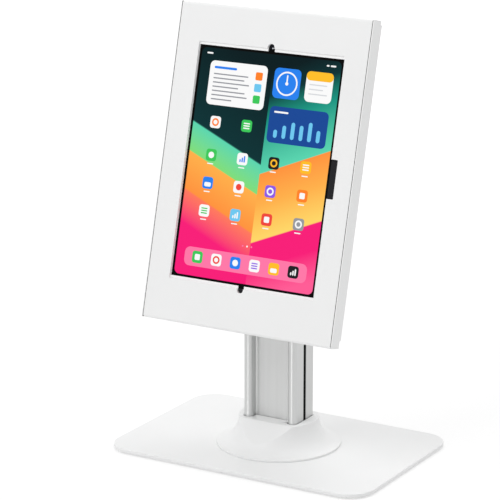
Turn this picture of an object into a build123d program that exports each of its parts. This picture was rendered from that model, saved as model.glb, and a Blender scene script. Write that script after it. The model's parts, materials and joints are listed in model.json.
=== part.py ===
from build123d import *
import math
import os

# Countertop kiosk stand that locks a tablet in a steel head.
# Millimetres. X to the right, Y away from the user, Z up. The origin is under the middle
# of the base plate, on the surface that the rubber feet stand on.

# Fits
THREAD_FIT = 0.05  # radial gap of a screw in its thread, and of a turning pin in its bore
SCREW_FIT = 0.25  # radial gap of a screw in a plain hole
LOOSE_FIT = 0.4  # gap between a moulded part and what it holds or goes round
OVERRUN = 2.0  # how far a cutting shape passes the face that it cuts

# Base plate and its feet
BASE_WIDTH = 300.0
BASE_DEPTH = 203.0
BASE_THICKNESS = 4.0
BASE_CORNER = 28.0
BASE_EDGE = 0.5
FOOT_RADIUS = 9.0
FOOT_THICKNESS = 1.5
FOOT_INSET = 22.0

# Column, an aluminium extrusion with two round posts in front of a flat web
COLUMN_WIDTH = 61.6
COLUMN_DEPTH = 38.3
COLUMN_SHIFT = -2.3
COLUMN_LENGTH = 272.5
POST_RADIUS = 5.05
WEB_SETBACK = 9.95
WEB_FILLET = 1.8
REAR_CORNER = 0.8
CAVITY_WIDTH = 34.0
CAVITY_WALL = 2.6
CAVITY_CORNER = 3.0
SLOT_SETBACK = 17.9
SLOT_WIDTH = 5.0
SLOT_DEPTH = 6.0
STRIP_RECESS = 0.5
PORT_INSET = 7.0

# Countersunk screws at both ends of the column
END_SCREW_RADIUS = 2.45
END_SCREW_LENGTH = 22.0
END_HEAD_RADIUS = 4.6
END_HEAD_HEIGHT = 2.6
END_HEX_RADIUS = 1.7
END_HEX_DEPTH = 1.8

# Collar that covers the foot of the column
COLLAR_RADIUS = 64.5
COLLAR_TOP_RADIUS = 41.5
COLLAR_HEIGHT = 29.5
COLLAR_RIM = 2.2
COLLAR_WALL = 2.5
FACET_TOP = 27.0
FACET_FOOT = 48.0
FACET_FOOT_HEIGHT = 10.7

# Bracket on top of the column, with two ears for the tilt pivot
BRACKET_THICKNESS = 5.0
BRACKET_CORNER = 4.0
EAR_THICKNESS = 5.0
EAR_RADIUS = 8.5
PIVOT_RISE = 10.35
PIVOT_SETBACK = 7.5
TILT_AT_REST = 14.63

# Tilt knuckle and the hardware of the tilt pivot
KNUCKLE_WIDTH = 28.0
KNUCKLE_RADIUS = 8.0
KNUCKLE_REACH = 9.3
FLANGE_RADIUS = 22.0
FLANGE_THICKNESS = 4.0
TILT_BOLT_RADIUS = 4.0
TILT_HEAD_RADIUS = 6.5
TILT_HEAD_HEIGHT = 7.0
TILT_HEX_RADIUS = 3.4
TILT_HEX_DEPTH = 4.0
TILT_NUT_RADIUS = 7.5
TILT_NUT_HEIGHT = 6.5
TILT_WASHER_RADIUS = 7.5
TILT_WASHER_THICKNESS = 1.0
TILT_BOLT_END = 1.5

# Rotation joint between the knuckle and the head
ROTATE_WASHER_RADIUS = 14.0
ROTATE_WASHER_THICKNESS = 1.0
SHOULDER_RADIUS = 5.0
ROTATE_THREAD_RADIUS = 4.0
ROTATE_THREAD_LENGTH = 8.3
ROTATE_HEAD_RADIUS = 8.0
ROTATE_HEAD_HEIGHT = 3.4
ROTATE_HEX_RADIUS = 2.9
ROTATE_HEX_DEPTH = 2.0
SPRING_RADIUS = 10.0
SPRING_THICKNESS = 1.2
STOP_RADIUS = 2.0
STOP_CIRCLE = 18.0
STOP_SWEEP = 180.0

# Mounting plate on the back of the head, on the usual 100 mm and 75 mm hole squares
PLATE_SIDE = 120.0
PLATE_THICKNESS = 2.5
PLATE_CORNER = 8.0
PLATE_PITCH = 100.0
SPARE_PITCH = 75.0
PLATE_SCREW_RADIUS = 1.95
PLATE_SCREW_LENGTH = 6.5
PLATE_HEAD_RADIUS = 3.8
PLATE_HEAD_HEIGHT = 2.2
PLATE_HEX_RADIUS = 1.4
PLATE_HEX_DEPTH = 1.2
NUT_RADIUS = 3.6
NUT_HEIGHT = 3.2
NUT_NECK_RADIUS = 2.95

# Head: steel tray behind, with its side walls outside the folded front cover
HEAD_WIDTH = 218.5
HEAD_HEIGHT = 321.3
HEAD_DEPTH = 19.3
SHEET_THICKNESS = 1.2
REAR_BEND = 2.0
STEP_DEPTH = 2.5
STEP_FROM_TOP = 4.4
STEP_FROM_BOTTOM = 8.1
TRAY_END_DROP = 0.2
TRAY_FRONT_CORNER = 2.6
END_LIP = 4.1
SEAM = 0.5

# Front cover and the white liner behind it
COVER_THICKNESS = 1.5
COVER_FLANGE = 9.5
COVER_BEND = 3.0
WINDOW_WIDTH = 165.0
WINDOW_HEIGHT = 239.0
WINDOW_RISE = 2.35
WINDOW_CORNER = 1.2
TOP_NOTCH_WIDTH = 7.6
TOP_NOTCH_HEIGHT = 4.7
BOTTOM_NOTCH_WIDTH = 6.8
BOTTOM_NOTCH_HEIGHT = 4.4
SIDE_NOTCH_WIDTH = 7.1
SIDE_NOTCH_LENGTH = 38.6
SIDE_NOTCH_CORNER = 1.0
LINER_SIDE_GAP = 7.55
LINER_END_GAP = 12.2
LINER_THICKNESS = 1.5
LINER_SIDE_LIP = 0.4
LINER_END_LIP = 2.85
LINER_CORNER = 2.0

# Hinge along the bottom edge of the cover
HINGE_INSET = 5.0
HINGE_PIN_RADIUS = 1.5
HINGE_PIN_LENGTH = 4.8
HINGE_DISC_RADIUS = 3.0
HINGE_DISC_THICKNESS = 0.8
LUG_THICKNESS = 2.0
LUG_HEIGHT = 10.0
LUG_CORNER = 2.5
LUG_INSET = 2.0

# Cam lock at the top of the back, and the catch on the cover
LOCK_DROP = 21.2
LOCK_RADIUS = 8.0
LOCK_FLANGE_RADIUS = 10.0
LOCK_FLANGE_THICKNESS = 2.0
LOCK_BODY_LENGTH = 11.5
LOCK_NUT_RADIUS = 11.0
LOCK_NUT_THICKNESS = 3.0
PLUG_RADIUS = 5.5
PLUG_RECESS = 0.2
PLUG_END = 0.6
KEY_SLOT_WIDTH = 1.3
KEY_SLOT_LENGTH = 7.0
KEY_SLOT_DEPTH = 4.0
CAM_THICKNESS = 2.0
CAM_WIDTH = 9.0
CAM_REACH = 15.5
CAM_SCREW_RADIUS = 2.0
CAM_SCREW_LENGTH = 5.5
CAM_HEAD_RADIUS = 3.5
CAM_HEAD_HEIGHT = 1.5
CAM_HEX_RADIUS = 1.3
CAM_HEX_DEPTH = 0.9
CATCH_WIDTH = 16.0
CATCH_THICKNESS = 1.5
CATCH_GAP = 0.3
CATCH_OVERLAP = 5.0
CATCH_CLEAR = 1.2

# Tablet with its screen, and what it is held by
TABLET_WIDTH = 179.5
TABLET_HEIGHT = 248.6
TABLET_THICKNESS = 7.0
TABLET_CORNER = 18.4
TABLET_EDGE = 1.4
TABLET_GAP = 0.2
TABLET_RIM = 0.9
TABLET_FLOOR = 1.0
TABLET_LEDGE = 3.5
SCREEN_THICKNESS = 1.4
SCREEN_GAP = 0.1
CELL_THICKNESS = 3.2
CELL_GAP = 4.0
CELL_SIDE_GAP = 14.25
CELL_BOTTOM_GAP = 25.8
BOARD_HEIGHT = 40.0
BOARD_THICKNESS = 1.2
BOARD_GAP = 5.0
BOARD_SIDE_GAP = 11.25
BOARD_TOP_GAP = 20.8
PAD_WIDTH = 24.0
PAD_HEIGHT = 30.0
PAD_ACROSS = 70.0
PAD_UP = 72.0
HOLDER_ARM = 25.0
HOLDER_WALL = 7.0
HOLDER_LIP = 1.8
HOLDER_CORNER = 3.0

# Blank cable grommet in the back of the tray
GROMMET_DROP = 95.0
GROMMET_NECK_RADIUS = 8.0
GROMMET_RADIUS = 10.5
GROMMET_FLANGE = 1.4
GROMMET_DIMPLE_RADIUS = 5.0

# Heights and depths that follow from the sizes above
BASE_TOP = FOOT_THICKNESS + BASE_THICKNESS
COLUMN_TOP = BASE_TOP + COLUMN_LENGTH
COLUMN_FRONT = COLUMN_SHIFT - COLUMN_DEPTH / 2
COLUMN_REAR = COLUMN_SHIFT + COLUMN_DEPTH / 2
BRACKET_TOP = COLUMN_TOP + BRACKET_THICKNESS
PIVOT_Y = COLUMN_FRONT + PIVOT_SETBACK
PIVOT_Z = BRACKET_TOP + PIVOT_RISE

# Depths in the head, measured back from its front face
COVER_BACK = COVER_THICKNESS
LINER_BACK = COVER_BACK + LINER_THICKNESS
TABLET_FRONT = LINER_BACK + TABLET_GAP
TABLET_BACK = TABLET_FRONT + TABLET_THICKNESS
TRAY_FLOOR = HEAD_DEPTH - SHEET_THICKNESS
PLATE_BACK = HEAD_DEPTH + PLATE_THICKNESS
KNUCKLE_FRONT = PLATE_BACK + ROTATE_WASHER_THICKNESS
FLANGE_BACK = KNUCKLE_FRONT + FLANGE_THICKNESS
PIVOT_DEPTH = FLANGE_BACK + KNUCKLE_REACH
LOCK_BODY_FRONT = HEAD_DEPTH - LOCK_BODY_LENGTH
CAM_BACK = LOCK_BODY_FRONT - PLUG_END
CAM_FRONT = CAM_BACK - CAM_THICKNESS

# Half widths and heights in the head, measured from the middle of its front face
TRAY_INSIDE = HEAD_WIDTH / 2 - SHEET_THICKNESS
COVER_HALF = TRAY_INSIDE - SEAM
HEAD_TOP = HEAD_HEIGHT / 2
WINDOW_TOP = WINDOW_RISE + WINDOW_HEIGHT / 2
WINDOW_BOTTOM = WINDOW_RISE - WINDOW_HEIGHT / 2
LOCK_UP = HEAD_TOP - LOCK_DROP
HINGE_DOWN = HINGE_INSET - HEAD_TOP

# The head leans back about the pivot, so its own frame is turned about X and moved there
HEAD_FRAME = Pos(0, PIVOT_Y, PIVOT_Z) * Rot(-TILT_AT_REST, 0, 0) * Pos(0, -PIVOT_DEPTH, 0)


def block(x_low, x_high, y_low, y_high, z_low, z_high):
    """Box between two corners."""
    middle = Pos((x_low + x_high) / 2, (y_low + y_high) / 2, (z_low + z_high) / 2)
    return middle * Box(x_high - x_low, y_high - y_low, z_high - z_low)


def rod_x(radius, x_low, x_high, y=0, z=0):
    """Round bar along X."""
    return Pos((x_low + x_high) / 2, y, z) * Rot(0, 90, 0) * Cylinder(radius, x_high - x_low)


def rod_y(radius, y_low, y_high, x=0, z=0):
    """Round bar along Y."""
    return Pos(x, (y_low + y_high) / 2, z) * Rot(90, 0, 0) * Cylinder(radius, y_high - y_low)


def rod_z(radius, z_low, z_high, x=0, y=0):
    """Round bar along Z."""
    return Pos(x, y, (z_low + z_high) / 2) * Cylinder(radius, z_high - z_low)


def slab_y(outline, y_low, y_high):
    """Plate from an outline drawn in X and Z."""
    return Pos(0, y_high, 0) * Rot(90, 0, 0) * extrude(outline, y_high - y_low)


def hex_y(radius, y_low, y_high, x=0, z=0):
    """Hexagonal bar along Y."""
    return Pos(x, 0, z) * slab_y(RegularPolygon(radius, 6), y_low, y_high)


def four_places(across, along):
    """The four corners of a rectangle about the origin."""
    return [(x, y) for x in (-across, across) for y in (-along, along)]


def join(solids):
    """One piece from overlapping or touching solids."""
    solids = list(solids)
    return solids[0].fuse(*solids[1:])


def group(solids):
    """Like pieces kept as separate solids in one node."""
    return Compound(children=list(solids))


# Column

def port_places():
    """Middles of the four screw ports of the extrusion."""
    x = COLUMN_WIDTH / 2 - POST_RADIUS
    front = COLUMN_FRONT + POST_RADIUS
    rear = COLUMN_REAR - PORT_INSET
    return [(side * x, y) for side in (-1, 1) for y in (front, rear)]


def column_outline(grow=0):
    """Outside of the extrusion, offset outwards by grow."""
    half = COLUMN_WIDTH / 2
    post_x = half - POST_RADIUS
    post_y = COLUMN_FRONT + POST_RADIUS
    web_y = COLUMN_FRONT + WEB_SETBACK
    recess_half = post_x - POST_RADIUS
    body = Pos(0, (post_y + COLUMN_REAR) / 2) * Rectangle(COLUMN_WIDTH, COLUMN_REAR - post_y)
    posts = [Pos(side * post_x, post_y) * Circle(POST_RADIUS) for side in (-1, 1)]
    recess = Pos(0, (post_y - POST_RADIUS + web_y) / 2) * Rectangle(
        2 * recess_half, web_y - post_y + POST_RADIUS
    )
    outline = body + posts[0] + posts[1] - recess
    web_corners = [
        v for v in outline.vertices()
        if math.isclose(v.Y, web_y, abs_tol=THREAD_FIT) and abs(v.X) < post_x
    ]
    outline = fillet(web_corners, WEB_FILLET)
    rear_corners = [
        v for v in outline.vertices() if math.isclose(v.Y, COLUMN_REAR, abs_tol=THREAD_FIT)
    ]
    outline = fillet(rear_corners, REAR_CORNER)
    if grow:
        outline = offset(outline, amount=grow, kind=Kind.ARC)
    return outline


def slot_block(depth, recess, z_low, z_high, side):
    """Bar that fills the side slot from recess below the surface down to depth."""
    outer = COLUMN_WIDTH / 2 - recess
    inner = COLUMN_WIDTH / 2 - depth
    y_low = COLUMN_FRONT + SLOT_SETBACK
    x_low, x_high = sorted((side * inner, side * outer))
    return block(x_low, x_high, y_low, y_low + SLOT_WIDTH, z_low, z_high)


def column():
    web_y = COLUMN_FRONT + WEB_SETBACK
    cavity_front = web_y + CAVITY_WALL
    cavity_rear = COLUMN_REAR - CAVITY_WALL
    cavity = Pos(0, (cavity_front + cavity_rear) / 2) * RectangleRounded(
        CAVITY_WIDTH, cavity_rear - cavity_front, CAVITY_CORNER
    )
    section = column_outline() - cavity
    for x, y in port_places():
        section -= Pos(x, y) * Circle(END_SCREW_RADIUS + THREAD_FIT)
    body = Pos(0, 0, BASE_TOP) * extrude(section, COLUMN_LENGTH)
    for side in (-1, 1):
        body -= slot_block(SLOT_DEPTH, -OVERRUN, BASE_TOP - OVERRUN, COLUMN_TOP + OVERRUN, side)
    return body


def slot_strips():
    return group(
        slot_block(SLOT_DEPTH, STRIP_RECESS, BASE_TOP, COLUMN_TOP, side) for side in (-1, 1)
    )


def end_screw():
    """Countersunk screw with the flat of its head at Z 0 and its shank upwards."""
    head = Pos(0, 0, END_HEAD_HEIGHT / 2) * Cone(
        END_HEAD_RADIUS, END_SCREW_RADIUS, END_HEAD_HEIGHT
    )
    shank = rod_z(END_SCREW_RADIUS, END_HEAD_HEIGHT, END_SCREW_LENGTH)
    socket = extrude(RegularPolygon(END_HEX_RADIUS, 6), END_HEX_DEPTH)
    return join([head, shank]) - socket


def end_screw_seat(thickness):
    """What a countersunk hole takes out of a plate of that thickness, flat side at Z 0."""
    sink = Pos(0, 0, END_HEAD_HEIGHT / 2) * Cone(
        END_HEAD_RADIUS + SCREW_FIT, END_SCREW_RADIUS + SCREW_FIT, END_HEAD_HEIGHT
    )
    mouth = rod_z(END_HEAD_RADIUS + SCREW_FIT, -OVERRUN, 0)
    hole = rod_z(END_SCREW_RADIUS + SCREW_FIT, 0, thickness + OVERRUN)
    return join([sink, hole, mouth])


def column_screws():
    return group(Pos(x, y, FOOT_THICKNESS) * end_screw() for x, y in port_places())


def bracket_screws():
    return group(Pos(x, y, BRACKET_TOP) * Rot(180, 0, 0) * end_screw() for x, y in port_places())


# Base

def base_plate():
    plate = extrude(RectangleRounded(BASE_WIDTH, BASE_DEPTH, BASE_CORNER), BASE_THICKNESS)
    rims = plate.faces().sort_by(Axis.Z)[-1].edges() + plate.faces().sort_by(Axis.Z)[0].edges()
    plate = Pos(0, 0, FOOT_THICKNESS) * chamfer(rims, BASE_EDGE)
    for x, y in port_places():
        plate -= Pos(x, y, FOOT_THICKNESS) * end_screw_seat(BASE_THICKNESS)
    return plate


def base_feet():
    across = BASE_WIDTH / 2 - FOOT_INSET
    along = BASE_DEPTH / 2 - FOOT_INSET
    return group(
        rod_z(FOOT_RADIUS, 0, FOOT_THICKNESS, x, y) for x, y in four_places(across, along)
    )


def collar_body(inset):
    """Flared body of the collar, with every wall moved inwards by inset."""
    top_radius = COLLAR_TOP_RADIUS - inset
    foot_radius = COLLAR_RADIUS - inset
    top = COLLAR_HEIGHT - inset
    low = -OVERRUN if inset else 0
    flare = foot_radius - top_radius
    drop = COLLAR_HEIGHT - COLLAR_RIM
    lift = EllipticalCenterArc((foot_radius, top), flare, drop, start_angle=180, arc_size=90)
    edge = Polyline(lift @ 1, (foot_radius, low), (0, low), (0, top), lift @ 0)
    profile = make_face(Plane.XZ * (Curve() + [lift, edge]))
    body = revolve(profile, Axis.Z)
    run = FACET_FOOT - FACET_TOP
    fall = COLLAR_HEIGHT - FACET_FOOT_HEIGHT
    slope = math.degrees(math.atan2(fall, run))
    slant = math.hypot(fall, run)
    reach = 2 * COLLAR_RADIUS
    for turn in (0, 180):
        wedge = Rot(slope, 0, 0) * block(-reach, reach, -slant, reach, -inset, reach)
        body -= Rot(0, 0, turn) * Pos(0, -FACET_TOP, COLLAR_HEIGHT) * wedge
    return body


def column_collar():
    shell = collar_body(0) - collar_body(COLLAR_WALL)
    hole = Pos(0, 0, -OVERRUN) * extrude(column_outline(LOOSE_FIT), COLLAR_HEIGHT + 2 * OVERRUN)
    return Pos(0, 0, BASE_TOP) * (shell - hole)


# Tilt bracket and knuckle

def pivot_bracket():
    front = PIVOT_Y - EAR_RADIUS
    half = COLUMN_WIDTH / 2
    foot = block(-half, half, front, COLUMN_REAR, COLUMN_TOP, BRACKET_TOP)
    foot = fillet(foot.edges().filter_by(Axis.Z), BRACKET_CORNER)
    for x, y in port_places():
        seat = Rot(180, 0, 0) * end_screw_seat(BRACKET_THICKNESS)
        foot -= Pos(x, y, BRACKET_TOP) * seat
    inner = KNUCKLE_WIDTH / 2 + TILT_WASHER_THICKNESS + THREAD_FIT
    ears = []
    for side in (-1, 1):
        x_low, x_high = sorted((side * inner, side * (inner + EAR_THICKNESS)))
        ears.append(rod_x(EAR_RADIUS, x_low, x_high, PIVOT_Y, PIVOT_Z))
        ears.append(block(x_low, x_high, front, PIVOT_Y + EAR_RADIUS, COLUMN_TOP, PIVOT_Z))
    bore = rod_x(TILT_BOLT_RADIUS + THREAD_FIT, -COLUMN_WIDTH, COLUMN_WIDTH, PIVOT_Y, PIVOT_Z)
    return join([foot] + ears) - bore


def ear_outside():
    """Distance from the middle to the outer face of an ear."""
    return KNUCKLE_WIDTH / 2 + TILT_WASHER_THICKNESS + THREAD_FIT + EAR_THICKNESS


def tilt_bolt():
    outside = ear_outside()
    shank = rod_x(TILT_BOLT_RADIUS, -outside - TILT_NUT_HEIGHT - TILT_BOLT_END, outside)
    head = rod_x(TILT_HEAD_RADIUS, outside, outside + TILT_HEAD_HEIGHT)
    socket = Pos(outside + TILT_HEAD_HEIGHT, 0, 0) * Rot(0, -90, 0) * extrude(
        RegularPolygon(TILT_HEX_RADIUS, 6), TILT_HEX_DEPTH
    )
    return Pos(0, PIVOT_Y, PIVOT_Z) * (join([shank, head]) - socket)


def tilt_nut():
    outside = ear_outside()
    body = Pos(-outside, 0, 0) * Rot(0, -90, 0) * extrude(
        RegularPolygon(TILT_NUT_RADIUS, 6), TILT_NUT_HEIGHT
    )
    bore = rod_x(TILT_BOLT_RADIUS + THREAD_FIT, -outside - TILT_NUT_HEIGHT - OVERRUN, OVERRUN)
    return Pos(0, PIVOT_Y, PIVOT_Z) * (body - bore)


def tilt_washers():
    """Friction washers between the knuckle and the two ears."""
    inner = KNUCKLE_WIDTH / 2
    washers = []
    for side in (-1, 1):
        x_low, x_high = sorted((side * (inner + THREAD_FIT), side * (inner + TILT_WASHER_THICKNESS)))
        ring = rod_x(TILT_WASHER_RADIUS, x_low, x_high, PIVOT_Y, PIVOT_Z)
        washers.append(ring - rod_x(
            TILT_BOLT_RADIUS + THREAD_FIT, x_low - OVERRUN, x_high + OVERRUN, PIVOT_Y, PIVOT_Z
        ))
    return group(washers)


def tilt_knuckle():
    half = KNUCKLE_WIDTH / 2
    flange = rod_y(FLANGE_RADIUS, KNUCKLE_FRONT, FLANGE_BACK)
    neck = block(-half, half, FLANGE_BACK, PIVOT_DEPTH, -KNUCKLE_RADIUS, KNUCKLE_RADIUS)
    barrel = rod_x(KNUCKLE_RADIUS, -half, half, PIVOT_DEPTH)
    stop = rod_y(STOP_RADIUS, HEAD_DEPTH + THREAD_FIT, KNUCKLE_FRONT, 0, STOP_CIRCLE)
    cross_bore = rod_x(TILT_BOLT_RADIUS + THREAD_FIT, -half - OVERRUN, half + OVERRUN, PIVOT_DEPTH)
    thread = rod_y(
        ROTATE_THREAD_RADIUS + THREAD_FIT,
        KNUCKLE_FRONT - OVERRUN,
        KNUCKLE_FRONT + ROTATE_THREAD_LENGTH + THREAD_FIT,
    )
    return join([flange, neck, barrel, stop]) - cross_bore - thread


def rotate_washer():
    ring = rod_y(ROTATE_WASHER_RADIUS, PLATE_BACK, KNUCKLE_FRONT)
    return ring - rod_y(SHOULDER_RADIUS + THREAD_FIT, PLATE_BACK - OVERRUN, KNUCKLE_FRONT + OVERRUN)


def rotate_bolt():
    head_back = TRAY_FLOOR - SPRING_THICKNESS
    head_front = head_back - ROTATE_HEAD_HEIGHT
    head = rod_y(ROTATE_HEAD_RADIUS, head_front, head_back)
    shoulder = rod_y(SHOULDER_RADIUS, head_back, KNUCKLE_FRONT)
    thread = rod_y(ROTATE_THREAD_RADIUS, KNUCKLE_FRONT, KNUCKLE_FRONT + ROTATE_THREAD_LENGTH)
    socket = hex_y(ROTATE_HEX_RADIUS, head_front - OVERRUN, head_front + ROTATE_HEX_DEPTH)
    return join([head, shoulder, thread]) - socket


def rotate_spring():
    """Dished spring washer that presses the head against the friction washer."""
    ring = rod_y(SPRING_RADIUS, TRAY_FLOOR - SPRING_THICKNESS, TRAY_FLOOR)
    return ring - rod_y(SHOULDER_RADIUS + THREAD_FIT, TRAY_FLOOR - SPRING_THICKNESS - OVERRUN, HEAD_DEPTH)


# Head: mounting plate

def plate_places(pitch):
    return four_places(pitch / 2, pitch / 2)


def mounting_plate():
    plate = slab_y(RectangleRounded(PLATE_SIDE, PLATE_SIDE, PLATE_CORNER), HEAD_DEPTH, PLATE_BACK)
    low, high = HEAD_DEPTH - OVERRUN, PLATE_BACK + OVERRUN
    plate -= rod_y(SHOULDER_RADIUS + THREAD_FIT, low, high)
    for pitch in (PLATE_PITCH, SPARE_PITCH):
        for x, z in plate_places(pitch):
            plate -= rod_y(PLATE_SCREW_RADIUS + SCREW_FIT, low, high, x, z)
    half_slot = STOP_RADIUS + THREAD_FIT + SCREW_FIT
    ring = rod_y(STOP_CIRCLE + half_slot, low, high) - rod_y(STOP_CIRCLE - half_slot, low, high)
    for side in (-1, 1):
        x_low, x_high = sorted((0, side * PLATE_SIDE))
        one_side = block(x_low, x_high, low, high, -PLATE_SIDE, PLATE_SIDE)
        above_end = Rot(0, side * (STOP_SWEEP / 2 - 90), 0) * block(
            -PLATE_SIDE, PLATE_SIDE, low, high, 0, PLATE_SIDE
        )
        angle = math.radians(90 + side * STOP_SWEEP / 2)
        x, z = STOP_CIRCLE * math.cos(angle), STOP_CIRCLE * math.sin(angle)
        plate -= ring & one_side & above_end
        plate -= rod_y(half_slot, low, high, x, z)
    return plate


def plate_screws():
    """Screws that hold the plate to the nuts in the tray."""
    screws = []
    for x, z in plate_places(PLATE_PITCH):
        head = rod_y(PLATE_HEAD_RADIUS, PLATE_BACK, PLATE_BACK + PLATE_HEAD_HEIGHT, x, z)
        shank = rod_y(PLATE_SCREW_RADIUS, PLATE_BACK - PLATE_SCREW_LENGTH, PLATE_BACK, x, z)
        face = PLATE_BACK + PLATE_HEAD_HEIGHT
        socket = hex_y(PLATE_HEX_RADIUS, face - PLATE_HEX_DEPTH, face + OVERRUN, x, z)
        screws.append(join([head, shank]) - socket)
    return group(screws)


def clinch_nuts():
    nuts = []
    for x, z in plate_places(PLATE_PITCH):
        body = rod_y(NUT_RADIUS, TRAY_FLOOR - NUT_HEIGHT, TRAY_FLOOR, x, z)
        neck = rod_y(NUT_NECK_RADIUS, TRAY_FLOOR, HEAD_DEPTH, x, z)
        bore = rod_y(
            PLATE_SCREW_RADIUS + THREAD_FIT, TRAY_FLOOR - NUT_HEIGHT - OVERRUN,
            HEAD_DEPTH + OVERRUN, x, z,
        )
        nuts.append(join([body, neck]) - bore)
    return group(nuts)


# Head: tray

def tray_form(inset):
    """Outside of the tray, or its hollow when inset is the sheet thickness."""
    half = HEAD_WIDTH / 2 - inset
    bend = max(REAR_BEND - inset, REAR_BEND / 3)
    top = HEAD_TOP - TRAY_END_DROP
    over = OVERRUN if inset else 0
    forms = []
    for back, z_low, z_high in (
        (HEAD_DEPTH - inset, STEP_FROM_BOTTOM - HEAD_TOP + inset, HEAD_TOP - STEP_FROM_TOP - inset),
        (HEAD_DEPTH - STEP_DEPTH - inset, -top - over, top + over),
    ):
        form = block(-half, half, -over, back, z_low, z_high)
        rear_edges = [
            e for e in form.edges().filter_by(Axis.Z)
            if math.isclose(e.center().Y, back, abs_tol=THREAD_FIT)
        ]
        forms.append(fillet(rear_edges, bend))
    return join(forms)


def rear_tray():
    tray = tray_form(0) - tray_form(SHEET_THICKNESS)
    top = HEAD_TOP - TRAY_END_DROP
    floor = HEAD_DEPTH - STEP_DEPTH - SHEET_THICKNESS
    for side in (-1, 1):
        z_low, z_high = sorted((side * top, side * (top - SHEET_THICKNESS)))
        tray += block(-TRAY_INSIDE, TRAY_INSIDE, floor - END_LIP, floor, z_low, z_high)
    side_outline = Plane.YZ * Rectangle(2 * HEAD_DEPTH, 2 * top)
    front_rounding = fillet(
        extrude(Pos(HEAD_DEPTH, 0, 0) * side_outline, HEAD_WIDTH, both=True)
        .edges().filter_by(Axis.X).sort_by(Axis.Y)[:2],
        TRAY_FRONT_CORNER,
    )
    tray &= Pos(-HEAD_DEPTH, 0, 0) * front_rounding
    low, high = TRAY_FLOOR - OVERRUN, HEAD_DEPTH + OVERRUN
    for x, z in plate_places(PLATE_PITCH):
        tray -= rod_y(NUT_NECK_RADIUS + THREAD_FIT, low, high, x, z)
    tray -= rod_y(SHOULDER_RADIUS + THREAD_FIT, low, high)
    tray -= rod_y(LOCK_RADIUS + THREAD_FIT, low, high, 0, LOCK_UP)
    tray -= rod_y(GROMMET_NECK_RADIUS + THREAD_FIT, low, high, 0, -GROMMET_DROP)
    return tray


def cable_grommet():
    """Rubber grommet with a closed skin, which is cut when a cable goes through."""
    neck = rod_y(GROMMET_NECK_RADIUS, TRAY_FLOOR, HEAD_DEPTH, 0, -GROMMET_DROP)
    back = HEAD_DEPTH + GROMMET_FLANGE
    outer = rod_y(GROMMET_RADIUS, HEAD_DEPTH, back, 0, -GROMMET_DROP)
    inner = rod_y(GROMMET_RADIUS, TRAY_FLOOR - GROMMET_FLANGE, TRAY_FLOOR, 0, -GROMMET_DROP)
    dimple = rod_y(GROMMET_DIMPLE_RADIUS, HEAD_DEPTH, back + OVERRUN, 0, -GROMMET_DROP)
    return join([neck, outer, inner]) - dimple


# Head: front cover, liner, hinge and lock

def notches():
    """The three notches that widen the window of the cover and of the liner."""
    top_radius = TOP_NOTCH_WIDTH / 2
    top_low = WINDOW_RISE
    top_high = WINDOW_TOP + TOP_NOTCH_HEIGHT - top_radius
    top = Pos(0, (top_low + top_high) / 2) * Rectangle(TOP_NOTCH_WIDTH, top_high - top_low)
    top += Pos(0, top_high) * Circle(top_radius)
    bottom_radius = BOTTOM_NOTCH_WIDTH / 2
    bottom_low = WINDOW_BOTTOM - BOTTOM_NOTCH_HEIGHT + bottom_radius
    bottom = Pos(0, (bottom_low + WINDOW_RISE) / 2) * Rectangle(
        BOTTOM_NOTCH_WIDTH, WINDOW_RISE - bottom_low
    )
    bottom += Pos(0, bottom_low) * Circle(bottom_radius)
    side_low = WINDOW_WIDTH / 4
    side_high = WINDOW_WIDTH / 2 + SIDE_NOTCH_WIDTH
    side = Pos((side_low + side_high) / 2, WINDOW_RISE) * RectangleRounded(
        side_high - side_low, SIDE_NOTCH_LENGTH, SIDE_NOTCH_CORNER
    )
    return top + bottom + side


def front_cover():
    outside = Rectangle(2 * HEAD_DEPTH, HEAD_HEIGHT)
    bend = fillet(outside.vertices().group_by(Axis.X)[0], COVER_BEND)
    hollow = Pos(COVER_THICKNESS, 0) * Rectangle(2 * HEAD_DEPTH, HEAD_HEIGHT - 2 * COVER_THICKNESS)
    hollow = fillet(hollow.vertices().group_by(Axis.X)[0], COVER_BEND - COVER_THICKNESS)
    behind = Pos(COVER_FLANGE, 0) * Rectangle(2 * HEAD_DEPTH, HEAD_HEIGHT + 2 * OVERRUN)
    section = Pos(HEAD_DEPTH, 0) * (bend - hollow) - Pos(HEAD_DEPTH, 0) * behind
    shell = extrude(Plane.YZ * section, COVER_HALF, both=True)
    window = Pos(0, WINDOW_RISE) * RectangleRounded(WINDOW_WIDTH, WINDOW_HEIGHT, WINDOW_CORNER)
    return shell - slab_y(window + notches(), -OVERRUN, COVER_BACK + OVERRUN)


def cover_liner():
    half_width = COVER_HALF - LINER_SIDE_GAP
    half_height = HEAD_TOP - LINER_END_GAP
    sheet = RectangleRounded(2 * half_width, 2 * half_height, LINER_CORNER)
    sheet -= Pos(0, WINDOW_RISE) * Rectangle(
        WINDOW_WIDTH - 2 * LINER_SIDE_LIP, WINDOW_HEIGHT - 2 * LINER_END_LIP
    )
    return slab_y(sheet - notches(), COVER_BACK, LINER_BACK)


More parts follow.
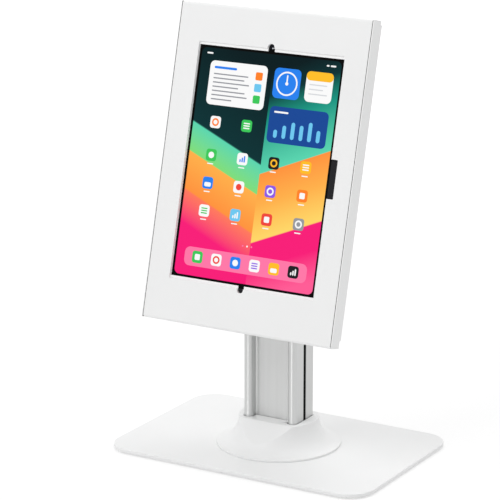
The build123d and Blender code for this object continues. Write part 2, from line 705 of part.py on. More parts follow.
def hinge_lugs():
    """Ears welded inside the bottom corners of the cover, one on each hinge pin."""
    low = COVER_THICKNESS - HEAD_TOP
    lugs = []
    for side in (-1, 1):
        outer = COVER_HALF - LUG_INSET
        x_low, x_high = sorted((side * outer, side * (outer - LUG_THICKNESS)))
        lug = block(x_low, x_high, COVER_BACK, COVER_FLANGE, low, low + LUG_HEIGHT)
        front_corner = lug.edges().filter_by(Axis.X).sort_by(Axis.Z)[:2].sort_by(Axis.Y)[0]
        lug = chamfer([front_corner], COVER_BEND - COVER_THICKNESS)
        corner = lug.edges().filter_by(Axis.X).sort_by(Axis.Z)[-2:].sort_by(Axis.Y)[-1]
        lug = fillet([corner], LUG_CORNER)
        hole = rod_x(
            HINGE_PIN_RADIUS + THREAD_FIT, x_low - OVERRUN, x_high + OVERRUN,
            HINGE_INSET, HINGE_DOWN,
        )
        lugs.append(lug - hole)
    return group(lugs)


def hinge_pins():
    """Studs on the inside of the tray's side walls, which the cover swings on."""
    pins = []
    for side in (-1, 1):
        root = TRAY_INSIDE - HINGE_DISC_THICKNESS
        disc_low, disc_high = sorted((side * root, side * TRAY_INSIDE))
        pin_low, pin_high = sorted((side * root, side * (root - HINGE_PIN_LENGTH)))
        disc = rod_x(HINGE_DISC_RADIUS, disc_low, disc_high, HINGE_INSET, HINGE_DOWN)
        pin = rod_x(HINGE_PIN_RADIUS, pin_low, pin_high, HINGE_INSET, HINGE_DOWN)
        pins.append(join([disc, pin]))
    return group(pins)


def lock_catch():
    """Hook on the cover. The cam turns in front of its lip and holds the cover shut."""
    half = CATCH_WIDTH / 2
    cam_tip = LOCK_UP + CAM_REACH
    web_low = cam_tip + CATCH_CLEAR
    lip_front = CAM_BACK + CATCH_GAP
    lip_back = lip_front + CATCH_THICKNESS
    web = block(-half, half, COVER_BACK, lip_back, web_low, web_low + CATCH_THICKNESS)
    lip = block(-half, half, lip_front, lip_back, cam_tip - CATCH_OVERLAP, web_low)
    return join([web, lip])


def lock_body():
    flange = rod_y(
        LOCK_FLANGE_RADIUS, HEAD_DEPTH, HEAD_DEPTH + LOCK_FLANGE_THICKNESS, 0, LOCK_UP
    )
    barrel = rod_y(LOCK_RADIUS, LOCK_BODY_FRONT, HEAD_DEPTH, 0, LOCK_UP)
    bore = rod_y(
        PLUG_RADIUS + THREAD_FIT, LOCK_BODY_FRONT - OVERRUN,
        HEAD_DEPTH + LOCK_FLANGE_THICKNESS + OVERRUN, 0, LOCK_UP,
    )
    return join([flange, barrel]) - bore


def lock_nut():
    body = hex_y(LOCK_NUT_RADIUS, TRAY_FLOOR - LOCK_NUT_THICKNESS, TRAY_FLOOR, 0, LOCK_UP)
    bore = rod_y(
        LOCK_RADIUS + THREAD_FIT, TRAY_FLOOR - LOCK_NUT_THICKNESS - OVERRUN, HEAD_DEPTH, 0, LOCK_UP
    )
    return body - bore


def lock_plug():
    back = HEAD_DEPTH + LOCK_FLANGE_THICKNESS - PLUG_RECESS
    plug = rod_y(PLUG_RADIUS, CAM_BACK, back, 0, LOCK_UP)
    half = KEY_SLOT_WIDTH / 2
    slot = block(
        -half, half, back - KEY_SLOT_DEPTH, back + OVERRUN,
        LOCK_UP - KEY_SLOT_LENGTH / 2, LOCK_UP + KEY_SLOT_LENGTH / 2,
    )
    thread = rod_y(
        CAM_SCREW_RADIUS + THREAD_FIT, CAM_BACK - OVERRUN, CAM_FRONT + CAM_SCREW_LENGTH, 0, LOCK_UP
    )
    return plug - slot - thread


def lock_cam():
    """Latch arm on the front end of the plug, turned aside while the lock is open."""
    half = CAM_WIDTH / 2
    hub = rod_y(half, CAM_FRONT, CAM_BACK, 0, LOCK_UP)
    arm = block(0, CAM_REACH, CAM_FRONT, CAM_BACK, LOCK_UP - half, LOCK_UP + half)
    hole = rod_y(
        CAM_SCREW_RADIUS + THREAD_FIT, CAM_FRONT - OVERRUN, CAM_BACK + OVERRUN, 0, LOCK_UP
    )
    return join([hub, arm]) - hole


def cam_screw():
    front = CAM_FRONT - CAM_HEAD_HEIGHT
    head = rod_y(CAM_HEAD_RADIUS, front, CAM_FRONT, 0, LOCK_UP)
    shank = rod_y(CAM_SCREW_RADIUS, CAM_FRONT, CAM_FRONT + CAM_SCREW_LENGTH - THREAD_FIT, 0, LOCK_UP)
    socket = hex_y(CAM_HEX_RADIUS, front - OVERRUN, front + CAM_HEX_DEPTH, 0, LOCK_UP)
    return join([head, shank]) - socket


# Tablet and what holds it in the tray

def tablet_outline(grow=0):
    return Pos(0, WINDOW_RISE) * RectangleRounded(
        TABLET_WIDTH + 2 * grow, TABLET_HEIGHT + 2 * grow, TABLET_CORNER + grow
    )


def tablet_body():
    shell = slab_y(tablet_outline(), TABLET_FRONT, TABLET_BACK)
    back_rim = shell.faces().sort_by(Axis.Y)[-1].edges()
    shell = fillet(back_rim, TABLET_EDGE)
    screen_back = TABLET_FRONT + SCREEN_THICKNESS
    rebate = slab_y(tablet_outline(-TABLET_RIM), TABLET_FRONT - OVERRUN, screen_back)
    cavity = slab_y(
        tablet_outline(-TABLET_LEDGE), screen_back - OVERRUN, TABLET_BACK - TABLET_FLOOR
    )
    return shell - rebate - cavity


def tablet_screen():
    """Cover glass and display, bonded into one panel."""
    return slab_y(
        tablet_outline(-TABLET_RIM - SCREEN_GAP), TABLET_FRONT, TABLET_FRONT + SCREEN_THICKNESS
    )


def cavity_half(size):
    """Half of the tablet's hollow, for its width or its height."""
    return size / 2 - TABLET_LEDGE


def board_top():
    return WINDOW_RISE + cavity_half(TABLET_HEIGHT) - BOARD_TOP_GAP


def tablet_battery():
    """Two cells side by side below the board."""
    back = TABLET_BACK - TABLET_FLOOR
    low = WINDOW_RISE - cavity_half(TABLET_HEIGHT) + CELL_BOTTOM_GAP
    high = board_top() - BOARD_HEIGHT - BOARD_GAP
    near, far = CELL_GAP / 2, cavity_half(TABLET_WIDTH) - CELL_SIDE_GAP
    cells = []
    for side in (-1, 1):
        x_low, x_high = sorted((side * near, side * far))
        cells.append(block(x_low, x_high, back - CELL_THICKNESS, back, low, high))
    return group(cells)


def tablet_board():
    back = TABLET_BACK - TABLET_FLOOR
    half = cavity_half(TABLET_WIDTH) - BOARD_SIDE_GAP
    high = board_top()
    return block(-half, half, back - BOARD_THICKNESS, back, high - BOARD_HEIGHT, high)


def foam_pads():
    """Pads between the back of the tablet and the tray."""
    return group(
        Pos(x, 0, z + WINDOW_RISE) * block(
            -PAD_WIDTH / 2, PAD_WIDTH / 2, TABLET_BACK, TRAY_FLOOR, -PAD_HEIGHT / 2, PAD_HEIGHT / 2
        )
        for x, z in four_places(PAD_ACROSS, PAD_UP)
    )


def corner_holders():
    """Moulded corners that keep the tablet in the middle of the tray."""
    corner_x = TABLET_WIDTH / 2
    corner_z = TABLET_HEIGHT / 2
    tablet_space = slab_y(tablet_outline(LOOSE_FIT), -OVERRUN, TABLET_BACK)
    holders = []
    for side_x, side_z in four_places(1, 1):
        x_low, x_high = sorted((side_x * (corner_x - HOLDER_ARM), side_x * (corner_x + HOLDER_WALL)))
        z_low, z_high = sorted((side_z * (corner_z - HOLDER_ARM), side_z * (corner_z + HOLDER_WALL)))
        holder = block(x_low, x_high, TABLET_FRONT + HOLDER_LIP, TRAY_FLOOR, z_low, z_high)
        holder = fillet(holder.edges().filter_by(Axis.Y), HOLDER_CORNER)
        holders.append(Pos(0, 0, WINDOW_RISE) * holder - tablet_space)
    return group(holders)


STANDING_PARTS = {
    "base_plate": base_plate,
    "base_feet": base_feet,
    "column_screws": column_screws,
    "column": column,
    "slot_strips": slot_strips,
    "column_collar": column_collar,
    "pivot_bracket": pivot_bracket,
    "bracket_screws": bracket_screws,
    "tilt_bolt": tilt_bolt,
    "tilt_nut": tilt_nut,
    "tilt_washers": tilt_washers,
}
HEAD_PARTS = {
    "tilt_knuckle": tilt_knuckle,
    "rotate_washer": rotate_washer,
    "rotate_bolt": rotate_bolt,
    "rotate_spring": rotate_spring,
    "mounting_plate": mounting_plate,
    "plate_screws": plate_screws,
    "clinch_nuts": clinch_nuts,
    "rear_tray": rear_tray,
    "cable_grommet": cable_grommet,
    "front_cover": front_cover,
    "cover_liner": cover_liner,
    "hinge_lugs": hinge_lugs,
    "hinge_pins": hinge_pins,
    "lock_catch": lock_catch,
    "lock_body": lock_body,
    "lock_nut": lock_nut,
    "lock_plug": lock_plug,
    "lock_cam": lock_cam,
    "cam_screw": cam_screw,
    "tablet_body": tablet_body,
    "tablet_screen": tablet_screen,
    "tablet_battery": tablet_battery,
    "tablet_board": tablet_board,
    "foam_pads": foam_pads,
    "corner_holders": corner_holders,
}

os.makedirs("parts", exist_ok=True)
for name, make in STANDING_PARTS.items():
    export_step(make(), f"parts/{name}.step")
for name, make in HEAD_PARTS.items():
    export_step(HEAD_FRAME * make(), f"parts/{name}.step")

# Places and directions of the joints
head_turn = Rot(-TILT_AT_REST, 0, 0)
for name, depth, up in (
    ("rotate axis", PLATE_BACK, 0),
    ("hinge axis", HINGE_INSET, HINGE_DOWN),
    ("lock axis", HEAD_DEPTH, LOCK_UP),
):
    place = (HEAD_FRAME * Pos(0, depth, up)).position
    print(name, [round(v, 3) for v in place])
print("tilt axis", [0, round(PIVOT_Y, 3), round(PIVOT_Z, 3)])
print("face centre", [round(v, 3) for v in HEAD_FRAME.position])
print("towards the user", [round(v, 5) for v in (head_turn * Pos(0, -1, 0)).position])
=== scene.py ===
import json
import math

import bmesh
import bpy
from mathutils import Matrix, Vector


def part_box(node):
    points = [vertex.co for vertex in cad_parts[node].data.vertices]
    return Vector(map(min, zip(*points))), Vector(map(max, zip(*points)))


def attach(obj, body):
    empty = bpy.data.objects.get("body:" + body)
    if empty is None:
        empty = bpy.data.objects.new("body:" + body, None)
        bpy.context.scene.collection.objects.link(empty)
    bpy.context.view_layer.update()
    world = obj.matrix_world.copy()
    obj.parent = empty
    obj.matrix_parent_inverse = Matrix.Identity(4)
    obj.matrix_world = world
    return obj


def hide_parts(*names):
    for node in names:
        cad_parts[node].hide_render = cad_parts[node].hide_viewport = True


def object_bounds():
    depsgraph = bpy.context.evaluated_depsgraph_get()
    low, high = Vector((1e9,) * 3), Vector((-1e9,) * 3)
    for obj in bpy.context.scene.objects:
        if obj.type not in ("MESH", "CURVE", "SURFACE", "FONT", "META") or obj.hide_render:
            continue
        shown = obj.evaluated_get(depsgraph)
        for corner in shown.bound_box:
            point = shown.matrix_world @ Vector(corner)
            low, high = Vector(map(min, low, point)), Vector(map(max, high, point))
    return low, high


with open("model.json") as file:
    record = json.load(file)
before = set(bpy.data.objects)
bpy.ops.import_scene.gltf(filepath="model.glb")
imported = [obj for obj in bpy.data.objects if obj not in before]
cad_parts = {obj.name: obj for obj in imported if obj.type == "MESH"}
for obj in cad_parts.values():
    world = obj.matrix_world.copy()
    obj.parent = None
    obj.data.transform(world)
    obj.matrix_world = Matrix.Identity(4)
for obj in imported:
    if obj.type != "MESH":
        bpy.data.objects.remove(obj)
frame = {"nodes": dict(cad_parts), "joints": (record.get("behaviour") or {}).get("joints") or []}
cad_low, cad_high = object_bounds()

# Base plate
# One rounded sheet of 4 mm steel that lies flat on the counter. It is laser cut, its edges are
# broken by hand, and it is powder coated satin white all over.
MM = 0.001
WELD_GAP = 0.001 * MM
FLAT_ANGLE = math.radians(0.5)
CREASE_ANGLE = math.radians(30)
WHITE_COAT = (0.865, 0.868, 0.868, 1)
BASE_EDGE = 0.3 * MM
EDGE_SEGMENTS = 3
CLOUDS_PER_METRE = 14.0
CLOUD_TONE = 0.965
CLOUD_ROUGHNESS = 0.05


def wire(tree, kind, inputs=None, **settings):
    """Adds a node with its settings. Each input gets a value, or the socket that feeds it."""
    node = tree.nodes.new(kind)
    for name, value in settings.items():
        setattr(node, name, value)
    for name, value in (inputs or {}).items():
        if isinstance(value, bpy.types.NodeSocket):
            tree.links.new(value, node.inputs[name])
        else:
            node.inputs[name].default_value = value
    return node


def effect_group(name, vectors, numbers, results):
    """Shader node group with named sockets, as its tree and its input and output nodes."""
    group = bpy.data.node_groups.new(name, "ShaderNodeTree")
    for side, kind, labels in (
        ("INPUT", "NodeSocketVector", vectors), ("INPUT", "NodeSocketFloat", numbers),
        ("OUTPUT", "NodeSocketFloat", results),
    ):
        for label in labels:
            group.interface.new_socket(label, in_out=side, socket_type=kind)
    return group, group.nodes.new("NodeGroupInput"), group.nodes.new("NodeGroupOutput")


def noise(tree, place, scale, detail, roughness=0.5):
    """Uneven value with about so many lumps per metre."""
    return wire(tree, "ShaderNodeTexNoise", {
        "Vector": place, "Scale": scale, "Detail": detail, "Roughness": roughness,
    }).outputs["Fac"]


def grain_group():
    """Uneven skin of a coating or a moulding: a rolling height, and a slow cloudiness."""
    group, start, end = effect_group(
        "surface_grain", ["Vector"], ["Grains per Metre", "Clouds per Metre"], ["Height", "Cloud"]
    )
    place = start.outputs["Vector"]
    height = noise(group, place, start.outputs["Grains per Metre"], 3.0, 0.55)
    cloud = noise(group, place, start.outputs["Clouds per Metre"], 2.0)
    group.links.new(height, end.inputs["Height"])
    group.links.new(cloud, end.inputs["Cloud"])
    return group


surface_grain = grain_group()


def new_finish(name):
    """Empty material, as the material, its tree and its one shader."""
    material = bpy.data.materials.new(name)
    material.use_nodes = True
    tree = material.node_tree
    return material, tree, tree.nodes["Principled BSDF"]


def shaded(colour, factor):
    """The same colour, lighter or darker."""
    return tuple(factor * channel for channel in colour[:3]) + (1,)


def object_place(tree):
    """Where a point of the surface lies on the whole object."""
    return wire(tree, "ShaderNodeTexCoord").outputs["Object"]


def mixed(tree, share, first, second):
    """Colour between two others."""
    return wire(tree, "ShaderNodeMix", {0: share, 6: first, 7: second}, data_type="RGBA").outputs[2]


def between(tree, share, low, high):
    """Value between two others."""
    spread = wire(tree, "ShaderNodeMapRange", {"Value": share, "To Min": low, "To Max": high})
    return spread.outputs["Result"]


def feed(tree, shader, **sources):
    """Links sources to the shader's sockets, with an underscore for each space in a name."""
    for name, source in sources.items():
        tree.links.new(source, shader.inputs[name.replace("_", " ")])


def preset(shader, **values):
    """Plain values on the shader's own sockets, named in the same way."""
    for name, value in values.items():
        shader.inputs[name.replace("_", " ")].default_value = value


def uneven(tree, shader, share, colours, roughness, drift, height, depth):
    """Lets a share move colour and roughness over the surface, and a height be its bump."""
    bump = wire(tree, "ShaderNodeBump", {"Height": height, "Distance": depth})
    feed(
        tree, shader, Base_Color=mixed(tree, share, *colours), Normal=bump.outputs["Normal"],
        Roughness=between(tree, share, roughness - drift, roughness + drift),
    )


def grainy_finish(name, colour, roughness, grains, depth, cloud_tone=CLOUD_TONE, **values):
    """Finish with a fine grain: colour and roughness drift a little, and the grain is a bump."""
    material, tree, shader = new_finish(name)
    grain = wire(tree, "ShaderNodeGroup", {
        "Vector": object_place(tree), "Grains per Metre": grains, "Clouds per Metre": CLOUDS_PER_METRE,
    }, node_tree=surface_grain)
    uneven(
        tree, shader, grain.outputs["Cloud"], (colour, shaded(colour, cloud_tone)), roughness,
        CLOUD_ROUGHNESS, grain.outputs["Height"], depth,
    )
    preset(shader, **values)
    return material


def powder_coat(name):
    """Satin white powder coat with its fine orange peel."""
    return grainy_finish(name, WHITE_COAT, roughness=0.48, grains=1100.0, depth=0.035 * MM)


def in_scene(name, data):
    """New object in the scene, which shows a mesh, curve, lamp or camera."""
    piece = bpy.data.objects.new(name, data)
    bpy.context.scene.collection.objects.link(piece)
    return piece


def show(name, mesh, finish):
    """Puts a mesh in the scene as a piece with one finish."""
    mesh.materials.clear()
    mesh.materials.append(finish)
    return in_scene(name, mesh)


def round_edges(piece, width):
    """Small round on every hard edge, with the faces beside it kept flat."""
    bevel = piece.modifiers.new("broken_edges", "BEVEL")
    bevel.width = width
    bevel.segments = EDGE_SEGMENTS
    bevel.limit_method = "ANGLE"
    bevel.angle_limit = CREASE_ANGLE
    bevel.use_clamp_overlap = False
    normals = piece.modifiers.new("flat_faces", "WEIGHTED_NORMAL")
    normals.keep_sharp = True
    return piece


def stands_for(piece, body, node):
    """Ties a piece to its body and lets it stand for a solid of the frame, whose mesh it hides."""
    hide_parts(node)
    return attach(piece, body)


def worked_copy(node, name, edge, finish, body):
    """Piece from a solid of the frame: its welded copy, with the sharp edges rounded."""
    mesh = frame["nodes"][node].data.copy()
    build = bmesh.new()
    build.from_mesh(mesh)
    bmesh.ops.remove_doubles(build, verts=build.verts, dist=WELD_GAP)
    bmesh.ops.dissolve_limit(
        build, angle_limit=FLAT_ANGLE, verts=build.verts, edges=build.edges
    )
    build.to_mesh(mesh)
    build.free()
    if mesh.attributes.get("custom_normal"):
        mesh.attributes.remove(mesh.attributes["custom_normal"])
    mesh.shade_smooth()
    return stands_for(round_edges(show(name, mesh, finish), edge), body, node)


worked_copy("base_plate", "base_sheet", BASE_EDGE, powder_coat("base_coat"), "stand")

# Rubber feet
# Four black rubber discs, glued under the corners of the base plate. Two shallow grooves in
# the underside let them grip a smooth counter.
FOOT_RADIUS = 9.0 * MM
FOOT_GROOVE = 0.3 * MM
FOOT_GROOVE_SHARES = ((0.35, 0.55), (0.70, 0.86))
FOOT_CHAMFER = 0.4 * MM
RUBBER_BLACK = (0.018, 0.018, 0.019, 1)
TURNED_SIDES = 48
HALF_FLAT = math.pi / 6


def band(build, low, high):
    """Faces from one closed loop of corners to the next. A pole is one corner repeated."""
    faces = []
    for step in range(len(low)):
        after = (step + 1) % len(low)
        corners = dict.fromkeys((low[step], low[after], high[after], high[step]))
        faces.append(build.faces.new(corners))
    return faces


def outward_mesh(build, name):
    """Mesh of what was built, with its faces turned outwards."""
    bmesh.ops.recalc_face_normals(build, faces=build.faces)
    mesh = bpy.data.meshes.new(name)
    build.to_mesh(mesh)
    build.free()
    return mesh


def turned(name, rings, hollow=False):
    """Mesh turned about Z from rings of height and radius, closed on its axis or round a hole.
    A third entry cuts a ring to a hexagon with its corners at that radius."""
    build = bmesh.new()
    loops = []
    for height, radius, *hexagon in rings:
        if radius == 0:
            loops.append([build.verts.new((0, 0, height))] * TURNED_SIDES)
            continue
        loop = []
        for step in range(TURNED_SIDES):
            angle = 2 * math.pi * step / TURNED_SIDES
            reach = radius
            if hexagon:
                flat = radius * math.cos(HALF_FLAT)
                reach = min(radius, flat / math.cos(angle % (2 * HALF_FLAT) - HALF_FLAT))
            loop.append(build.verts.new((reach * math.cos(angle), reach * math.sin(angle), height)))
        loops.append(loop)
    pairs = list(zip(loops, loops[1:]))
    if hollow:
        pairs.append((loops[-1], loops[0]))
    for low, high in pairs:
        band(build, low, high)
    mesh = outward_mesh(build, name)
    mesh.shade_smooth()
    mesh.set_sharp_from_angle(angle=CREASE_ANGLE)
    return mesh


def maths(tree, operation, *values):
    """Result of one operation on values or sockets."""
    return wire(tree, "ShaderNodeMath", dict(enumerate(values)), operation=operation).outputs[0]


def geometry_tree(name, *inputs):
    """Geometry Nodes tree with inputs by name and kind, as the tree and its input node."""
    tree = bpy.data.node_groups.new(name, "GeometryNodeTree")
    for label, kind in inputs:
        tree.interface.new_socket(label, in_out="INPUT", socket_type="NodeSocket" + kind)
    tree.interface.new_socket("Geometry", in_out="OUTPUT", socket_type="NodeSocketGeometry")
    return tree, tree.nodes.new("NodeGroupInput")


def close_tree(tree, geometry, finish):
    """Ends a tree: copies become real, and all of it takes one finish."""
    real = wire(tree, "GeometryNodeRealizeInstances", {"Geometry": geometry})
    coated = wire(tree, "GeometryNodeSetMaterial", {
        "Geometry": real.outputs["Geometry"], "Material": finish,
    })
    wire(tree, "NodeGroupOutput", {"Geometry": coated.outputs["Geometry"]})
    return tree


def grid_tree():
    """Repeats its geometry on a flat grid of places."""
    tree, start = geometry_tree(
        "piece_grid", ("Geometry", "Geometry"), ("Columns", "Int"), ("Rows", "Int"),
        ("Pitch Across", "Float"), ("Pitch Along", "Float"), ("Finish", "Material"),
    )
    across, along = (
        maths(tree, "MULTIPLY", maths(tree, "SUBTRACT", start.outputs[count], 1.0), start.outputs[pitch])
        for count, pitch in (("Columns", "Pitch Across"), ("Rows", "Pitch Along"))
    )
    places = wire(tree, "GeometryNodeMeshGrid", {
        "Size X": across, "Size Y": along,
        "Vertices X": start.outputs["Columns"], "Vertices Y": start.outputs["Rows"],
    })
    copies = wire(tree, "GeometryNodeInstanceOnPoints", {
        "Points": places.outputs["Mesh"], "Instance": start.outputs["Geometry"],
    })
    return close_tree(tree, copies.outputs["Instances"], start.outputs["Finish"])


piece_grid = grid_tree()


def run_tree(host, tree, place, **values):
    """Runs a tree on a host object with its inputs by name, and returns the placed plain piece."""
    modifier = host.modifiers.new(tree.name, "NODES")
    modifier.node_group = tree
    for item in tree.interface.items_tree:
        if item.in_out == "INPUT" and item.name.replace(" ", "_") in values:
            modifier[item.identifier] = values[item.name.replace(" ", "_")]
    name = host.name
    mesh = bpy.data.meshes.new_from_object(
        host.evaluated_get(bpy.context.evaluated_depsgraph_get())
    )
    bpy.data.objects.remove(host)
    mesh.name = name
    mesh.transform(place)
    return in_scene(name, mesh)


def on_grid(mesh, place, across, along, finish):
    """Four copies of a mesh, two by two about the place."""
    return run_tree(
        show(mesh.name, mesh, finish), piece_grid, place, Columns=2, Rows=2,
        Pitch_Across=across, Pitch_Along=along, Finish=finish,
    )


rubber = grainy_finish("black_rubber", RUBBER_BLACK, roughness=0.72, grains=900.0, depth=0.03 * MM)
feet_low, feet_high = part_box("base_feet")
foot_rings = [(FOOT_GROOVE, 0)]
for inner_share, outer_share in FOOT_GROOVE_SHARES:
    foot_rings += [
        (FOOT_GROOVE, inner_share * FOOT_RADIUS - FOOT_GROOVE), (0, inner_share * FOOT_RADIUS),
        (0, outer_share * FOOT_RADIUS), (FOOT_GROOVE, outer_share * FOOT_RADIUS + FOOT_GROOVE),
    ]
foot_rings += [
    (FOOT_GROOVE, FOOT_RADIUS - 2 * FOOT_CHAMFER), (0, FOOT_RADIUS - FOOT_CHAMFER),
    (FOOT_CHAMFER, FOOT_RADIUS), (feet_high.z, FOOT_RADIUS), (feet_high.z, 0),
]
feet = on_grid(
    turned("rubber_feet", foot_rings), Matrix.Identity(4),
    feet_high.x - feet_low.x - 2 * FOOT_RADIUS, feet_high.y - feet_low.y - 2 * FOOT_RADIUS, rubber,
)
stands_for(feet, "stand", "base_feet")

# Column
# An aluminium extrusion with two round posts in front of a flat web, silver anodised. Drawing
# leaves fine lines along it. It stands on the base plate, held from below by four screws.
POST_RADIUS = 5.05 * MM
POST_STEPS = 40
WEB_SETBACK = 9.95 * MM
WEB_FILLET = 1.8 * MM
REAR_CORNER = 0.8 * MM
SLOT_SETBACK = 17.9 * MM
SLOT_WIDTH = 5.0 * MM
SLOT_DEPTH = 6.0 * MM
CAVITY_WIDTH = 34.0 * MM
CAVITY_WALL = 2.6 * MM
CAVITY_CORNER = 3.0 * MM
PORT_INSET = 7.0 * MM
PORT_RADIUS = 2.5 * MM
PORT_SIDES = 24
COLUMN_EDGE = 0.15 * MM
LINES_PER_METRE = 2600.0
LINE_STRETCH = 0.012
LINE_DEPTH = 0.006 * MM
STREAK_SHARE = 0.12
STREAK_TONES = (0.95, 1.04)
STREAK_ROUGHNESS = 0.06
SILVER = (0.645, 0.65, 0.646, 1)
SILVER_METALLIC = 0.85
UPRIGHT_GLOSS = 0.7
QUARTER_TURN = 0.25


def arc(x, y, radius, start, end, steps=10):
    """Points along an arc, with its angles in degrees."""
    angles = [math.radians(start + (end - start) * step / steps) for step in range(steps + 1)]
    return [(x + radius * math.cos(a), y + radius * math.sin(a)) for a in angles]


def round_rectangle(width, height, corner, x=0, y=0, steps=10):
    """Closed outline of a rectangle with round corners."""
    points = []
    for turn, (side_x, side_y) in enumerate(((1, 1), (-1, 1), (-1, -1), (1, -1))):
        points += arc(
            x + side_x * (width / 2 - corner), y + side_y * (height / 2 - corner), corner,
            90 * turn, 90 * turn + 90, steps,
        )
    return points


def extrusion_tree():
    """Fills flat outlines, lifts them to a length and closes the lower end."""
    tree, start = geometry_tree(
        "drawn_section", ("Geometry", "Geometry"), ("Length", "Float"), ("Finish", "Material")
    )
    section = wire(tree, "GeometryNodeFillCurve", {"Curve": start.outputs["Geometry"]}, mode="NGONS")
    lifted = wire(tree, "GeometryNodeExtrudeMesh", {
        "Mesh": section.outputs["Mesh"], "Offset Scale": start.outputs["Length"],
        "Individual": False,
    })
    under = wire(tree, "GeometryNodeFlipFaces", {"Mesh": section.outputs["Mesh"]})
    both = tree.nodes.new("GeometryNodeJoinGeometry")
    for half in (lifted, under):
        tree.links.new(half.outputs["Mesh"], both.inputs["Geometry"])
    welded = wire(tree, "GeometryNodeMergeByDistance", {
        "Geometry": both.outputs["Geometry"], "Distance": WELD_GAP,
    })
    return close_tree(tree, welded.outputs["Geometry"], start.outputs["Finish"])


drawn_section = extrusion_tree()


def drawn(name, outlines, length, place, edge, finish):
    """Solid of that length from closed outlines, the first one its outside."""
    curve = bpy.data.curves.new(name, "CURVE")
    curve.dimensions = "2D"
    for outline in outlines:
        spline = curve.splines.new("POLY")
        spline.points.add(len(outline) - 1)
        for point, (x, y) in zip(spline.points, outline):
            point.co = (x, y, 0, 1)
        spline.use_cyclic_u = True
    piece = run_tree(in_scene(name, curve), drawn_section, place, Length=length, Finish=finish)
    piece.data.shade_smooth()
    return round_edges(piece, edge)


def drawn_lines_group():
    """Fine straight lines along Z, as drawing or brushing leaves them."""
    group, start, end = effect_group(
        "drawn_lines", ["Vector"], ["Lines per Metre", "Stretch"], ["Height", "Streak"]
    )
    parts = wire(group, "ShaderNodeSeparateXYZ", {0: start.outputs["Vector"]})
    stretched = wire(group, "ShaderNodeCombineXYZ", {
        0: parts.outputs["X"], 1: parts.outputs["Y"],
        2: maths(group, "MULTIPLY", parts.outputs["Z"], start.outputs["Stretch"]),
    }).outputs[0]
    fine = start.outputs["Lines per Metre"]
    broad = maths(group, "MULTIPLY", fine, STREAK_SHARE)
    group.links.new(noise(group, stretched, fine, 4.0), end.inputs["Height"])
    group.links.new(noise(group, stretched, broad, 2.0), end.inputs["Streak"])
    return group


drawn_lines = drawn_lines_group()


def lined_metal(name, colour, roughness):
    """Anodised metal with fine drawn lines along Z, and its gloss stretched across them."""
    material, tree, shader = new_finish(name)
    lines = wire(tree, "ShaderNodeGroup", {
        "Vector": object_place(tree), "Lines per Metre": LINES_PER_METRE, "Stretch": LINE_STRETCH,
    }, node_tree=drawn_lines)
    uneven(
        tree, shader, lines.outputs["Streak"], [shaded(colour, tone) for tone in STREAK_TONES],
        roughness, STREAK_ROUGHNESS, lines.outputs["Height"], LINE_DEPTH,
    )
    around = wire(tree, "ShaderNodeTangent", direction_type="RADIAL", axis="Z")
    feed(tree, shader, Tangent=around.outputs["Tangent"])
    preset(
        shader, Anisotropic=UPRIGHT_GLOSS, Anisotropic_Rotation=QUARTER_TURN,
        Metallic=SILVER_METALLIC,
    )
    return material


column_low, column_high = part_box("column")
column_length = column_high.z - column_low.z
column_foot = Matrix.Translation((0, 0, column_low.z))
half_width = column_high.x
post_x = half_width - POST_RADIUS
post_y = column_low.y + POST_RADIUS
rear_ports_y = column_high.y - PORT_INSET
web_y = column_low.y + WEB_SETBACK
slot_front = column_low.y + SLOT_SETBACK
slot_rear = slot_front + SLOT_WIDTH
slot_floor = half_width - SLOT_DEPTH
web_edge = post_x - POST_RADIUS
right_side = (
    arc(web_edge - WEB_FILLET, web_y - WEB_FILLET, WEB_FILLET, 90, 0)
    + arc(post_x, post_y, POST_RADIUS, 180, 360, POST_STEPS)
    + [(half_width, slot_front), (slot_floor, slot_front)]
    + [(slot_floor, slot_rear), (half_width, slot_rear)]
    + arc(half_width - REAR_CORNER, column_high.y - REAR_CORNER, REAR_CORNER, 0, 90)
)
column_outside = right_side + [(-x, y) for x, y in reversed(right_side)]
cavity_depth = column_high.y - web_y - 2 * CAVITY_WALL
cavity_middle = web_y + CAVITY_WALL + cavity_depth / 2
cavity = round_rectangle(CAVITY_WIDTH, cavity_depth, CAVITY_CORNER, 0, cavity_middle)
ports = [
    arc(side * post_x, y, PORT_RADIUS, 0, 360 - 360 / PORT_SIDES, PORT_SIDES - 1)
    for side in (-1, 1) for y in (post_y, rear_ports_y)
]
column = drawn(
    "column_extrusion", [column_outside, cavity] + ports, column_length, column_foot, COLUMN_EDGE,
    lined_metal("silver_anodised", SILVER, 0.38),
)
stands_for(column, "stand", "column")

# Slot strips
# Black rubber strips, pushed into the two side slots of the column along its whole length.
# Their matt faces lie just under the metal.
STRIP_RECESS = 0.1 * MM
STRIP_EDGE = 0.1 * MM
STRIP_BLACK = (0.002, 0.002, 0.002, 1)

strip_face = half_width - STRIP_RECESS
strip_outlines = [
    [(side * slot_floor, slot_front), (side * strip_face, slot_front),
     (side * strip_face, slot_rear), (side * slot_floor, slot_rear)]
    for side in (1, -1)
]
strip_rubber = grainy_finish(
    "strip_rubber", STRIP_BLACK, roughness=0.7, grains=700.0, depth=0.02 * MM,
    Specular_IOR_Level=0.05,
)
strips = drawn("slot_rubbers", strip_outlines, column_length, column_foot, STRIP_EDGE, strip_rubber)
stands_for(strips, "stand", "slot_strips")

# Column screws
# Eight countersunk steel screws with a hexagon socket, zinc plated. Four come up through the
# base plate, and four go down through the tilt bracket into the same ports.
END_HEAD_RADIUS = 4.6 * MM
END_HEAD_HEIGHT = 2.6 * MM
END_SHANK_RADIUS = 2.45 * MM
END_LENGTH = 22.0 * MM
END_SOCKET = 1.7 * MM
END_SOCKET_DEPTH = 1.8 * MM
SCREW_EDGE = 0.2 * MM
ZINC = (0.58, 0.59, 0.61, 1)


